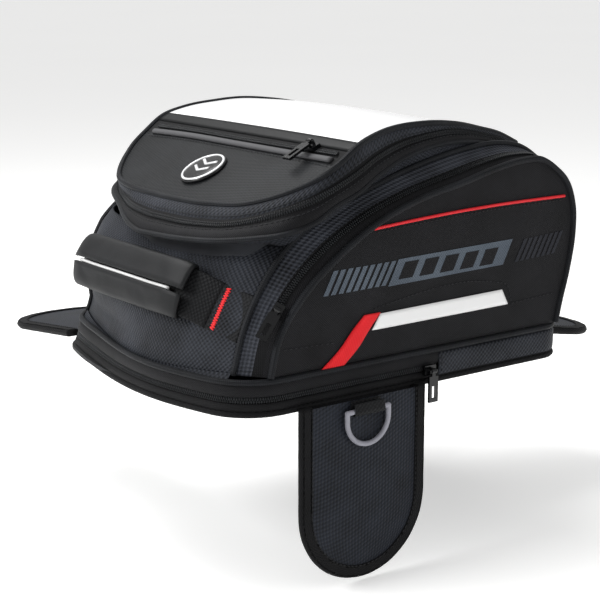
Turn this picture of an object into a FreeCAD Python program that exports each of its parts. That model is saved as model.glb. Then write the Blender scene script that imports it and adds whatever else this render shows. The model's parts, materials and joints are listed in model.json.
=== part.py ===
"""Motorcycle tank bag: a soft bag on a zipped base with three magnetic hold-down flaps.

Millimetres, +Z up. The origin is the centre of the base's underside. +X points to the tall
end (the front of the motorcycle), so the low nose with its handle is at -X, beside the rider.
"""
import FreeCAD, Part
import math
import os
from FreeCAD import Placement, Rotation, Vector
from Sketcher import Constraint

doc = FreeCAD.newDocument("tank_bag")
S = "sizes."
# the points of a sketch element, as its constraints number them
START, END, MIDDLE = 1, 2, 3

# ---------------------------------------------------------------- driving dimensions
SIZES = [
    ("base_length", 350, "nose to tall end, along X"),
    ("base_half_width", 143, "centre line to side of the bands"),
    ("nose_radius", 392, "big arc of the base's nose"),
    ("nose_corner", 44, "corner between nose and side"),
    ("tall_corner", 24, "corner at the tall end"),
    ("pad_inset", 5, "anti-slip pad inside the binding"),
    ("pad_thick", 2, "anti-slip pad"),
    ("board_thick", 3, "stiffening board over the pad"),
    ("binding_proud", 2, "binding outside the bands"),
    ("binding_tall", 4, "bottom binding"),
    ("band_wall", 3, "fabric and foam of a band"),
    ("lower_band_top", 11, "top of the fixed band"),
    ("chain_tall", 1.8, "one row of zip coil"),
    ("upper_band_foot", 15.2, "foot of the band that lifts"),
    ("waist_level", 25, "foot of the waist piping"),
    ("piping_wide", 4, "waist piping"),
    ("sleeve_inset", 6, "expansion sleeve inside the bands"),
    ("sleeve_wall", 1.5, "expansion sleeve"),
    ("core_half_width", 122, "centre line to inner wall of a side pocket"),
    ("core_nose_radius", 310, "arc of the front panel"),
    ("front_lean", 0.4607, "run of the front panel per unit of rise"),
    ("shell_wall", 2.5, "outer fabric of the body"),
    ("foam_wall", 3.5, "foam and lining"),
    ("pocket_reach", 139.4, "centre line to outer edge of a pocket gusset"),
    ("panel_start", 140.2, "centre line to back of a pocket panel"),
    ("panel_thick", 4, "padded pocket panel"),
    ("panel_piping", 3, "width of the piping round a pocket panel"),
    ("lid_nose_half", 139, "half width of the lid at its nose"),
    ("lid_tall_half", 106, "half width of the lid at its hinge"),
    ("lid_nose_radius", 300, "arc of the lid's nose"),
    ("lid_corner", 42, "corner of the lid's nose"),
    ("lid_wall", 2.5, "lid side strip"),
    ("hinge_x", 151, "lid hinge line, along X"),
    ("webbing_wide", 36, "handle webbing"),
    ("webbing_thick", 2.6, "handle webbing"),
    ("grip_wide", 40, "handle grip"),
    ("grip_thick", 11, "handle grip"),
    ("flap_wide", 122, "hold-down flap"),
    ("flap_long", 146, "hold-down flap, hinge to tip"),
    ("flap_binding", 12, "binding tape of a flap"),
    ("flap_thick", 5, "flap panel"),
    ("magnet_radius", 19, "magnet in a flap"),
    ("magnet_thick", 2.6, "magnet in a flap"),
    ("ring_radius", 20, "curve of a D-ring, to the wire's centre"),
    ("ring_wire", 2, "radius of a D-ring's wire"),
    ("ring_leg", 7, "straight leg of a D-ring"),
    ("ring_bar_x", 9, "flap hinge to the bar of its D-ring"),
    ("ring_bar_z", 8.6, "flap back face to the bar of its D-ring"),
    ("loop_half", 15, "half width of a ring's tape loop"),
    ("slider_long", 11, "zip slider, along the zip"),
    ("slider_wide", 8, "zip slider, across the zip"),
    ("slider_thick", 3.4, "zip slider"),
    ("pin_radius", 0.9, "bridge pin of a slider"),
    ("pin_rise", 6.6, "slider's back to its bridge pin"),
    ("eye_radius", 2.1, "eye of a puller"),
    ("puller_long", 25, "puller, pin to tip"),
    ("puller_wide", 9, "puller"),
    ("puller_thick", 2, "puller"),
]
sheet = doc.addObject("Spreadsheet::Sheet", "sizes")
for row, (alias, value, note) in enumerate(SIZES, start=1):
    sheet.set(f"A{row}", alias)
    sheet.set(f"B{row}", str(value))
    sheet.set(f"C{row}", note)
    sheet.setAlias(f"B{row}", alias)
doc.recompute()
size = {alias: float(sheet.get(alias)) for alias, _, _ in SIZES}

# ---------------------------------------------------------------- side outlines, (x, z)
LEVEL_GAP = 0.8
# seam between the front panel and a side gusset, on the pocket's inner wall
FRONT_SEAM = [(-148, 31), (-138, 64), (-118, 99), (-98, 121), (-60, 143), (-10, 161), (35, 173),
              (75, 180), (110, 182), (137, 177), (157, 165), (176, 147), (185, 125), (185, 103),
              (180, 74), (172, 45), (169, 31)]
# edge of the raised pocket panel, point for point beside the seam
PANEL_EDGE = [(-127, 33), (-120, 58), (-97, 88), (-68, 111), (-28, 134), (13, 148), (57, 157),
              (92, 165), (120, 169), (142, 168), (157, 160), (171, 148), (180, 127), (181, 104),
              (176, 74), (168, 45), (165, 33)]
TALL_WALL = [(164, 165), (176, 147), (184, 125), (184, 103), (179, 74), (171, 45), (168, 29)]
# top of the lid along the centre line, nose to hinge
LID_TOP = [(-134, 142), (-110, 154), (-76, 171), (-43, 190), (-10, 202), (31, 205), (80, 200),
           (120, 190), (150, 176.5)]
# the main zip, where the lid parts from the body
ZIP_LINE = [(-160, 124), (-141, 131.5), (-64, 160), (-30, 176), (-6, 187), (20, 192), (60, 191),
            (100, 184.5), (150, 168.5)]
# lower edge of the collar that carries the body's half of the main zip
COLLAR_EDGE = [(-160, 115), (-150, 119), (-64, 149), (-10, 173), (35, 180), (100, 176), (150, 164)]
POCKET_FLOOR = [(-44, 171), (-76, 153), (-112, 135.5), (-132, 131.5)]
HANDLE_PATH = [(-144, -90, 76), (-157, -78, 86), (-161.5, -40, 88), (-162.5, 0, 88.5),
               (-161.5, 40, 88), (-157, 78, 86), (-144, 90, 76)]


# ---------------------------------------------------------------- helpers
def bind(thing, **cells):
    """Bind properties of one object to expressions of the sheet's cells."""
    for name, expression in cells.items():
        for alias in sorted(size, key=len, reverse=True):
            expression = expression.replace(f"@{alias}@", f"sizes.{alias}")
        thing.setExpression(name, expression)
    return thing


def feature(label, shape, placement=None):
    """Hold a shape made here in a labelled document object."""
    held = doc.addObject("Part::Feature", label)
    held.Shape = shape
    if placement:
        held.Placement = placement
    return held


def shifted(points, grow):
    """A closed (x, z) outline, clockwise seen from -Y, moved outwards by grow."""
    moved = []
    count = len(points)
    for here in range(count):
        before, at, after = points[here - 1], points[here], points[(here + 1) % count]
        first = Vector(at[0] - before[0], 0, at[1] - before[1]).normalize()
        second = Vector(after[0] - at[0], 0, after[1] - at[1]).normalize()
        out = Vector(-first.z, 0, first.x) + Vector(-second.z, 0, second.x)
        out.normalize()
        miter = grow / max(0.5, out.dot(Vector(-first.z, 0, first.x)))
        moved.append((at[0] + out.x * miter, at[1] + out.z * miter))
    return moved


def side_wire(points, across):
    """A closed wire in the plane y = across."""
    return Part.makePolygon([Vector(x, across, z) for x, z in points + points[:1]])


def slab(points, low, high):
    """A side outline extruded along Y from low to high."""
    return Part.Face(side_wire(points, low)).extrude(Vector(0, high - low, 0))


def between(lower, upper, half=170):
    """The space between two lines of (x, z) points, right across the bag."""
    return slab(lower + upper[::-1], -half, half)


def lifted(points, rise):
    return [(x, z + rise) for x, z in points]


def plan_wire(level, nose, tall, nose_half, tall_half, radius, corner):
    """Plan outline at one level: nose arc, two corner arcs, tapering sides, straight tall end."""
    centre = Vector(nose + radius, 0, level)
    start = Vector(nose, nose_half, level)
    along = (Vector(tall, tall_half, level) - start).normalize()
    inward = Vector(along.y, -along.x, 0)
    ends = []
    for side in (1, -1):
        first = start + inward * corner - centre
        run = first.dot(along)
        reach = run * run - first.dot(first) + (radius - corner) ** 2
        heart = centre + first + along * (-run - math.sqrt(reach))
        out = (heart - centre).normalize()
        middle = (out - inward).normalize()
        points = [heart + out * corner, heart + middle * corner, heart - inward * corner,
                  Vector(tall, tall_half, level)]
        ends.append([Vector(p.x, p.y * side, p.z) for p in points])
    upper, lower = ends
    tip = Vector(nose, 0, level)
    edges = [Part.Arc(lower[0], tip, upper[0]).toShape(),
             Part.Arc(upper[0], upper[1], upper[2]).toShape(),
             Part.makeLine(upper[2], upper[3]), Part.makeLine(upper[3], lower[3]),
             Part.makeLine(lower[3], lower[2]), Part.Arc(lower[2], lower[1], lower[0]).toShape()]
    return Part.Wire(edges)


def leaning(low, high, nose, slope, tall, nose_half, tall_half, radius, corner):
    """A solid whose nose leans back by slope per unit of rise, from level low to level high."""
    wires = [plan_wire(z, nose + slope * (z - low), tall, nose_half, tall_half, radius, corner)
             for z in (low, high)]
    return Part.makeLoft(wires, True, True)


LID_FOOT, LID_CEILING = 105, 215
LID_NOSE_AT_FOOT, LID_NOSE_SLOPE = -163, 0.8


def lid_block(grow):
    """The space inside the lid's side walls, grown outwards by grow."""
    return leaning(LID_FOOT, LID_CEILING, LID_NOSE_AT_FOOT - grow * 1.25, LID_NOSE_SLOPE,
                   size["hinge_x"] - 0.5, size["lid_nose_half"] + grow,
                   size["lid_tall_half"] + grow, size["lid_nose_radius"] + grow,
                   size["lid_corner"] + grow)


def lid_ring(outer, inner):
    return lid_block(outer).cut(lid_block(inner))


def core_block(inset):
    """The space inside the body's walls, seen in plan."""
    foot, ceiling = 15, 215
    nose = -173 + size["front_lean"] * (foot - 28) + inset * 1.1
    half = size["core_half_width"] - inset
    return leaning(foot, ceiling, nose, size["front_lean"], 200, half, half,
                   size["core_nose_radius"] - inset, 4)


def body_profile(inset, drop=0):
    """Side outline of the open-topped body, its wall moved in by inset, its rim down by drop."""
    rim = [(-200, 20), (-200, 114)] + lifted(COLLAR_EDGE[:4], -LEVEL_GAP)
    rim += [(35, 172.5), (75, 179.5), (110, 181.5), (137, 176.5), (151.5, 166)]
    wall = [(x - inset, z - inset * (z > 160)) for x, z in TALL_WALL]
    return rim[:1] + lifted(rim[1:], -drop) + wall


# ---------------------------------------------------------------- base: sketched plan outlines
def outline(sketch, grow):
    """Add the base's plan outline to a sketch, grown by an expression, fully constrained."""
    Arc, Line = Part.ArcOfCircle, Part.LineSegment
    amount = float(doc.sizes.evalExpression(grow.replace("sizes.", "")))
    half = size["base_half_width"] + amount
    tall = size["base_length"] / 2 + amount
    corner, nose_corner = size["tall_corner"] + amount, size["nose_corner"] + amount
    radius = size["nose_radius"] + amount
    wire = plan_wire(0, -tall, tall, half, half, radius, nose_corner)
    joints = [wire.Edges[1].Vertexes, wire.Edges[5].Vertexes]
    upper_nose = min((v.Point for v in joints[0]), key=lambda p: p.x)
    upper_side = max((v.Point for v in joints[0]), key=lambda p: p.x)
    turn = math.atan2(upper_nose.y, upper_nose.x - (radius - tall))
    heart = Vector(upper_side.x, half - nose_corner, 0)
    centre = Vector(radius - tall, 0, 0)
    normal = Vector(0, 0, 1)

    def arc(at, size_of, start, stop):
        return Arc(Part.Circle(at, normal, size_of), start, stop)

    mirrored = Vector(heart.x, -heart.y, 0)
    first = sketch.GeometryCount
    sketch.addGeometry([
        arc(centre, radius, turn, 2 * math.pi - turn),
        arc(mirrored, nose_corner, 2 * math.pi - turn, 1.5 * math.pi),
        Line(Vector(heart.x, -half, 0), Vector(tall - corner, -half, 0)),
        arc(Vector(tall - corner, corner - half, 0), corner, 1.5 * math.pi, 2 * math.pi),
        Line(Vector(tall, corner - half, 0), Vector(tall, half - corner, 0)),
        arc(Vector(tall - corner, half - corner, 0), corner, 0, 0.5 * math.pi),
        Line(Vector(tall - corner, half, 0), Vector(heart.x, half, 0)),
        arc(heart, nose_corner, 0.5 * math.pi, turn)], False)
    add = sketch.addConstraint
    for here in range(8):
        after = (here + 1) % 8
        add(Constraint("Tangent", first + here, END, first + after, START))
    add(Constraint("Horizontal", first + 2))
    add(Constraint("Horizontal", first + 6))
    add(Constraint("Vertical", first + 4))
    add(Constraint("PointOnObject", first, MIDDLE, -1))
    sizes_of = [("Radius", (first, radius), "@nose_radius@"),
                ("Radius", (first + 1, nose_corner), "@nose_corner@"),
                ("Radius", (first + 7, nose_corner), "@nose_corner@"),
                ("Radius", (first + 3, corner), "@tall_corner@"),
                ("Radius", (first + 5, corner), "@tall_corner@"),
                ("DistanceY", (first + 2, START, -1, START, half), "@base_half_width@"),
                ("DistanceY", (-1, START, first + 6, START, half), "@base_half_width@"),
                ("DistanceX", (-1, START, first + 4, START, tall), "@base_length@ / 2")]
    for kind, where, cell in sizes_of:
        at = add(Constraint(kind, *where))
        bind(sketch, **{f"Constraints[{at}]": f"{cell} + {grow}"})
    at = add(Constraint("DistanceX", -1, START, first, MIDDLE, centre.x))
    bind(sketch, **{f"Constraints[{at}]": "@nose_radius@ - @base_length@ / 2"})


def new_sketch(body, name, rise="0"):
    sketch = body.newObject("Sketcher::SketchObject", name)
    plane = next(o for o in body.Origin.OriginFeatures if o.Role == "XY_Plane")
    sketch.AttachmentSupport = [(plane, "")]
    sketch.MapMode = "FlatFace"
    bind(sketch, **{".AttachmentOffset.Base.z": rise})
    return sketch


def base_layer(label, foot, tall, outer, inner=None):
    """A pad or a ring that follows the base's plan outline."""
    body = doc.addObject("PartDesign::Body", label)
    sketch = new_sketch(body, label + "_plan", foot)
    outline(sketch, outer)
    if inner:
        outline(sketch, inner)
    pad = body.newObject("PartDesign::Pad", label + "_pad")
    pad.Profile = sketch
    bind(pad, Length=tall)
    return body


base_layer("base_pad", "0", f"{S}pad_thick", f"-{S}pad_inset")
base_layer("base_board", f"{S}pad_thick", f"{S}board_thick", f"-{S}pad_inset")
base_layer("base_binding", "0", f"{S}binding_tall", f"{S}binding_proud", f"-{S}band_wall")
base_layer("base_band", f"{S}binding_tall", f"{S}lower_band_top - {S}binding_tall", "0",
           f"-{S}band_wall")
base_layer("base_zip_lower_chain", f"{S}lower_band_top", f"{S}chain_tall", "-0.4",
           f"-{S}band_wall")
base_layer("base_zip_upper_chain", f"{S}upper_band_foot - {S}chain_tall", f"{S}chain_tall",
           "-0.4", f"-{S}band_wall")
base_layer("upper_band", f"{S}upper_band_foot", f"{S}waist_level - {S}upper_band_foot", "0",
           f"-{S}band_wall")
base_layer("waist_piping", f"{S}waist_level", f"{S}piping_wide", f"{S}binding_proud",
           f"-{S}piping_wide")
base_layer("expansion_sleeve", f"{S}pad_thick + {S}board_thick + 0.5", "17",
           f"-{S}sleeve_inset", f"-{S}sleeve_inset - {S}sleeve_wall")


# ---------------------------------------------------------------- body of the bag
def body_wall(outer, inner, drop=0):
    """The body's wall between two insets, open at the top and over the base."""
    solid = core_block(outer).common(slab(body_profile(outer, drop), -170, 170))
    profile = body_profile(inner)
    roof = [(-200, 10), (-200, 240), (150.8, 240), (150.8, 163)]
    hollow = core_block(inner).common(slab(roof + profile[-7:-1] + [(168 - inner, 10)],
                                           -170, 170))
    floor = Part.makeBox(500, 400, 29.3, Vector(-250, -200, 0))
    return solid.cut(hollow).cut(floor)


feature("body_shell", body_wall(0, size["shell_wall"]))
feature("foam_lining", body_wall(size["shell_wall"] + 0.3,
                                 size["shell_wall"] + 0.3 + size["foam_wall"], 4.5))
feature("body_collar", lid_ring(0, -size["lid_wall"]).common(
    between(COLLAR_EDGE, lifted(ZIP_LINE, -LEVEL_GAP))))
chain_outer, chain_inner = 1.6, 0.2
feature("main_zip_lower_chain", lid_ring(chain_outer, chain_inner).common(
    between(lifted(ZIP_LINE, -2.6), lifted(ZIP_LINE, -LEVEL_GAP))))


def pocket_outline(share, grow):
    """Outline of a side pocket's gusset, share of the way from the seam to the panel."""
    mixed = [(a[0] + (b[0] - a[0]) * share, a[1] + (b[1] - a[1]) * share)
             for a, b in zip(FRONT_SEAM, PANEL_EDGE)]
    return shifted(mixed, grow)


def gusset_level(share):
    start = size["core_half_width"] + 0.3
    return start + (size["pocket_reach"] - start) * share


def gusset_band(first, last, outer, inner, side):
    """A band of the slanting gusset between two shares, outer and inner from its face."""
    rings = [Part.makeLoft([side_wire(pocket_outline(share, grow), side * (gusset_level(share)
                            + reach)) for share, reach in ((first, -0.2 * cut),
                                                           (last, 0.2 * cut))], True, True)
             for grow, cut in ((outer, 0), (inner, 1))]
    return rings[0].cut(rings[1])


SIDES = (("near", -1), ("far", 1))
for place, side in SIDES:
    feature(f"side_gusset_{place}", gusset_band(0, 1, 0, -2.2, side))
zip_shares = (0.6, 0.76)
feature("side_zip_chains", Part.makeCompound(
    [gusset_band(*zip_shares, 1.5, 0.25, side) for _, side in SIDES]))


def piping_strip(points, outer, inner, low, high):
    """A flat ring of piping round an outline, open along the waist."""
    ring = slab(shifted(points, outer), low, high).cut(slab(shifted(points, inner),
                                                            low - 1, high + 1))
    return ring.cut(Part.makeBox(500, 500, 33, Vector(-250, -250, 0)))


seam_low, seam_high = size["core_half_width"] + 0.3, size["core_half_width"] + 3.3
feature("front_pipings", Part.makeCompound(
    [piping_strip(FRONT_SEAM, 3.6, 0.4, *sorted((side * seam_low, side * seam_high)))
     .common(Part.makeBox(285, 400, 400, Vector(-200, -200, 0)))
     .cut(lid_block(chain_outer + 0.4).common(between(lifted(COLLAR_EDGE, -0.5),
                                                      lifted(ZIP_LINE, 60))))
     for _, side in SIDES]))

# ---------------------------------------------------------------- side pocket panels
panel_back = size["panel_start"]
panel_face = panel_back + size["panel_thick"]
STRIP = [(-34, 52), (-26, 64), (101, 66), (108, 53)]
for place, side in SIDES:
    depth = sorted((side * panel_back, side * panel_face))
    rim = sorted((side * panel_back, side * (panel_face + 0.8)))
    face = sorted((side * panel_face, side * (panel_face + 0.6)))
    feature(f"side_panel_{place}", slab(shifted(PANEL_EDGE, -size["panel_piping"]), *depth))
    ring = slab(shifted(PANEL_EDGE, 1.2), *rim).cut(
        slab(shifted(PANEL_EDGE, -size["panel_piping"]), rim[0] - 1, rim[1] + 1))
    feature(f"panel_piping_{place}", ring)
    feature(f"reflective_strip_{place}", slab(STRIP, *face))

# ---------------------------------------------------------------- lid
feature("lid_side_strip", lid_ring(0, -size["lid_wall"]).common(between(ZIP_LINE, LID_TOP)))
inside = lid_block(-size["lid_wall"] - 0.2)
panel_top = lifted(LID_TOP[3:], -1)
floor_line = POCKET_FLOOR[::-1]
feature("lid_panel", inside.common(between(
    lifted(floor_line, -2.6) + [(-41, 171)] + lifted(LID_TOP[4:], -4), floor_line + panel_top)))
feature("lid_pocket_panel", inside.common(between(
    lifted(LID_TOP[:3], -3) + [(-49, 183.4)], LID_TOP[:3] + [(-49, 186.5)])))
feature("map_window", inside.common(between(
    [(-22, 197.1), (-10, 201.2)] + lifted(LID_TOP[5:8], -0.8),
    [(-22, 198.5), (-10, 202.6)] + lifted(LID_TOP[5:8], 0.6))))
feature("lid_pocket_zip", inside.common(between(
    [(-48.6, 184), (-44.8, 184.6)], [(-48.6, 188.5), (-44.8, 189.5)], 112)))
feature("lid_piping", lid_ring(3, 0.2).common(between(lifted(LID_TOP, -3),
                                                      lifted(LID_TOP, 1.5))))
feature("main_zip_upper_chain", lid_ring(chain_outer, chain_inner).common(
    between(ZIP_LINE, lifted(ZIP_LINE, LEVEL_GAP + 1))))
BADGE_AT = Vector(-92, -22, 163.6)
BADGE_TILT = Rotation(Vector(0, 1, 0), -26.5)
badge = doc.addObject("Part::Cylinder", "lid_badge")
badge.Radius = 17
badge.Height = 2.4
badge.Placement = Placement(BADGE_AT, BADGE_TILT)

# ---------------------------------------------------------------- handle
lean_angle = math.atan(size["front_lean"])
UP = Vector(math.sin(lean_angle), 0, math.cos(lean_angle))


def strap(path, wide, thick):
    """A strap of rectangular section, its width along the front panel's slope."""
    points = [Vector(*p) for p in path]
    sections = []
    for here, at in enumerate(points):
        run = points[min(here + 1, len(points) - 1)] - points[max(here - 1, 0)]
        out = run.cross(UP).normalize() * (thick / 2)
        rise = UP * (wide / 2)
        corners = [at - out - rise, at + out - rise, at + out + rise, at - out + rise]
        sections.append(Part.makePolygon(corners + corners[:1]))
    return Part.makeLoft(sections, True, True)


webbing = strap(HANDLE_PATH, size["webbing_wide"], size["webbing_thick"])
feature("handle_webbing", webbing)
sleeve = strap(HANDLE_PATH[1:-1], size["grip_wide"], size["grip_thick"])
feature("handle_grip", sleeve.cut(strap(HANDLE_PATH, size["webbing_wide"] + 0.3,
                                        size["webbing_thick"] + 0.3)))
front_face = core_block(-0.3)
tape_zone = core_block(-0.3 - size["webbing_thick"])
tape_low, tape_high = 57, 91
ends, tacks = [], []
for side in (1, -1):
    zone = Part.makeBox(80, 24, tape_high - tape_low,
                        Vector(-180, 94 if side > 0 else -118, tape_low))
    tack = Part.makeBox(80, 3, 28, Vector(-180, 97 if side > 0 else -100, tape_low + 3))
    ends.append(tape_zone.cut(front_face).common(zone))
    tacks.append(core_block(-1.6 - size["webbing_thick"]).cut(tape_zone).common(tack))
feature("handle_end_webbing", Part.makeCompound(ends))
feature("handle_bartacks", Part.makeCompound(tacks))


# ---------------------------------------------------------------- flaps
def turned(x_axis, y_axis, origin):
    z_axis = x_axis.cross(y_axis)
    return Placement(origin, Rotation(x_axis, y_axis, z_axis, "XYZ"))


def hanging(along, across, droop, origin):
    """A flap's place: its axis turned down by droop degrees about its hinge line."""
    level, tilt = Vector(*along), math.radians(droop)
    x_axis = level * math.cos(tilt) - Vector(0, 0, 1) * math.sin(tilt)
    return turned(x_axis, Vector(*across), Vector(*origin))


FLAPS = [("near", turned(Vector(0, 0, -1), Vector(1, 0, 0), Vector(-45, -145.3, 3))),
         ("far", hanging((0, 1, 0), (-1, 0, 0), 7, (-80, 145.3, 4))),
         ("front", hanging((1, 0, 0), (0, 1, 0), 10, (177.3, -8, 4)))]
FLAP_START = 1


def flap_arc(sketch, grow):
    """The two straight sides and the round tip of a flap, grown by an expression."""
    amount = float(doc.sizes.evalExpression(grow.replace("sizes.", "")))
    half = size["flap_wide"] / 2 + amount
    turn = size["flap_long"] - size["flap_wide"] / 2
    first = sketch.GeometryCount
    sketch.addGeometry([
        Part.LineSegment(Vector(FLAP_START, -half, 0), Vector(turn, -half, 0)),
        Part.ArcOfCircle(Part.Circle(Vector(turn, 0, 0), Vector(0, 0, 1), half),
                         -math.pi / 2, math.pi / 2),
        Part.LineSegment(Vector(turn, half, 0), Vector(FLAP_START, half, 0))], False)
    add = sketch.addConstraint
    add(Constraint("Tangent", first, END, first + 1, START))
    add(Constraint("Tangent", first + 1, END, first + 2, START))
    add(Constraint("Horizontal", first))
    add(Constraint("PointOnObject", first + 1, MIDDLE, -1))
    add(Constraint("DistanceX", -1, START, first, START, FLAP_START))
    at = add(Constraint("Radius", first + 1, half))
    bind(sketch, **{f"Constraints[{at}]": f"{S}flap_wide / 2 + {grow}"})
    at = add(Constraint("DistanceX", -1, START, first + 1, MIDDLE, turn))
    bind(sketch, **{f"Constraints[{at}]": f"{S}flap_long - {S}flap_wide / 2"})
    return half


def join_vertically(sketch, low, high):
    """Close a flap outline with a line from the start of one side to the end of another."""
    first = sketch.addGeometry(Part.LineSegment(Vector(FLAP_START, high[2], 0),
                                                Vector(FLAP_START, low[2], 0)), False)
    sketch.addConstraint(Constraint("Coincident", first, END, low[0], low[1]))
    sketch.addConstraint(Constraint("Coincident", first, START, high[0], high[1]))
    sketch.addConstraint(Constraint("Vertical", first))


def flap_outline(sketch, grows):
    """A closed outline, or with two grows the U of a binding between them."""
    halves = [flap_arc(sketch, grow) for grow in grows]
    if len(grows) == 1:
        join_vertically(sketch, (0, START, -halves[0]), (2, END, halves[0]))
        return
    join_vertically(sketch, (0, START, -halves[0]), (3, START, -halves[1]))
    join_vertically(sketch, (5, END, halves[1]), (2, END, halves[0]))
    sketch.delConstraint(last_distance(sketch, 3))


def last_distance(sketch, line):
    """The distance that the vertical joint of an inner side already fixes."""
    kinds = [(at, c) for at, c in enumerate(sketch.Constraints)
             if c.Type == "DistanceX" and c.Second == line and c.SecondPos == START]
    return kinds[-1][0]


def flap_layer(label, placement, foot, thick, grows):
    body = doc.addObject("PartDesign::Body", label)
    sketch = new_sketch(body, label + "_plan", foot)
    flap_outline(sketch, grows)
    pad = body.newObject("PartDesign::Pad", label + "_pad")
    pad.Profile = sketch
    bind(pad, Length=thick)
    body.Placement = placement
    return body


MAGNETS_X = (52, 104)
for place, where in FLAPS:
    panel = flap_layer(f"{place}_flap_panel", where, "0", f"{S}flap_thick",
                       [f"-{S}flap_binding"])
    doc.recompute()
    bed = new_sketch(panel, f"{place}_flap_beds")
    for at in MAGNETS_X:
        made = bed.addGeometry(Part.Circle(Vector(at, 0, 0), Vector(0, 0, 1),
                                           size["magnet_radius"] + 0.4), False)
        bed.addConstraint(Constraint("PointOnObject", made, 3, -1))
        bed.addConstraint(Constraint("DistanceX", -1, 1, made, 3, at))
        held = bed.addConstraint(Constraint("Radius", made, size["magnet_radius"] + 0.4))
        bind(bed, **{f"Constraints[{held}]": f"{S}magnet_radius + 0.4"})
    pocket = panel.newObject("PartDesign::Pocket", f"{place}_flap_magnet_beds")
    pocket.Profile = bed
    pocket.Reversed = True
    bind(pocket, Length=f"{S}magnet_thick + 0.4")
    flap_layer(f"{place}_flap_binding", where, "0", f"{S}flap_thick + 0.3",
               ["0", f"-{S}flap_binding"])
    discs = []
    for number, at in enumerate(MAGNETS_X):
        disc = doc.addObject("Part::Cylinder", f"{place}_disc_{number}")
        bind(disc, Radius=f"{S}magnet_radius", Height=f"{S}magnet_thick")
        disc.Placement = Placement(Vector(at, 0, 0), Rotation())
        discs.append(disc)
    group = doc.addObject("Part::Compound", f"{place}_flap_magnets")
    group.Links = discs
    group.Placement = where

    block = doc.addObject("Part::Box", f"{place}_loop_block")
    bind(block, Width=f"2 * {S}loop_half", Length=f"{S}ring_bar_x + 2.5", Height="6")
    bind(block, **{".Placement.Base.y": f"-{S}loop_half", ".Placement.Base.z":
                   f"{S}flap_thick + 0.2", ".Placement.Base.x": "1.5"})
    bore = doc.addObject("Part::Cylinder", f"{place}_loop_bore")
    bind(bore, Radius=f"{S}ring_wire + 0.35")
    bore.Height = 60
    bore.Placement = Placement(Vector(size["ring_bar_x"], 30, size["ring_bar_z"]),
                               Rotation(Vector(1, 0, 0), 90))
    loop = doc.addObject("Part::Cut", f"{place}_ring_loop")
    loop.Base = block
    loop.Tool = bore
    loop.Placement = where

    bow = doc.addObject("Part::Torus", f"{place}_ring_bow")
    bind(bow, Radius1=f"{S}ring_radius", Radius2=f"{S}ring_wire")
    bow.Angle3 = 180
    bow.Placement = Placement(Vector(size["ring_bar_x"] + size["ring_leg"], 0,
                                     size["ring_bar_z"]), Rotation(Vector(0, 0, 1), -90))
    pieces = [bow]
    for mark, side in (("a", 1), ("b", -1)):
        leg = doc.addObject("Part::Cylinder", f"{place}_ring_leg_{mark}")
        bind(leg, Radius=f"{S}ring_wire", Height=f"{S}ring_leg")
        elbow = Vector(size["ring_bar_x"], side * size["ring_radius"], size["ring_bar_z"])
        leg.Placement = Placement(elbow, Rotation(Vector(0, 1, 0), 90))
        ball = doc.addObject("Part::Sphere", f"{place}_ring_elbow_{mark}")
        bind(ball, Radius=f"{S}ring_wire")
        ball.Placement = Placement(elbow, Rotation())
        pieces += [leg, ball]
    bar = doc.addObject("Part::Cylinder", f"{place}_ring_bar")
    bind(bar, Radius=f"{S}ring_wire", Height=f"2 * {S}ring_radius")
    bar.Placement = Placement(Vector(size["ring_bar_x"], size["ring_radius"],
                                     size["ring_bar_z"]), Rotation(Vector(1, 0, 0), 90))
    ring = doc.addObject("Part::MultiFuse", f"{place}_d_ring")
    ring.Shapes = pieces + [bar]
    ring.Placement = where


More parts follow.
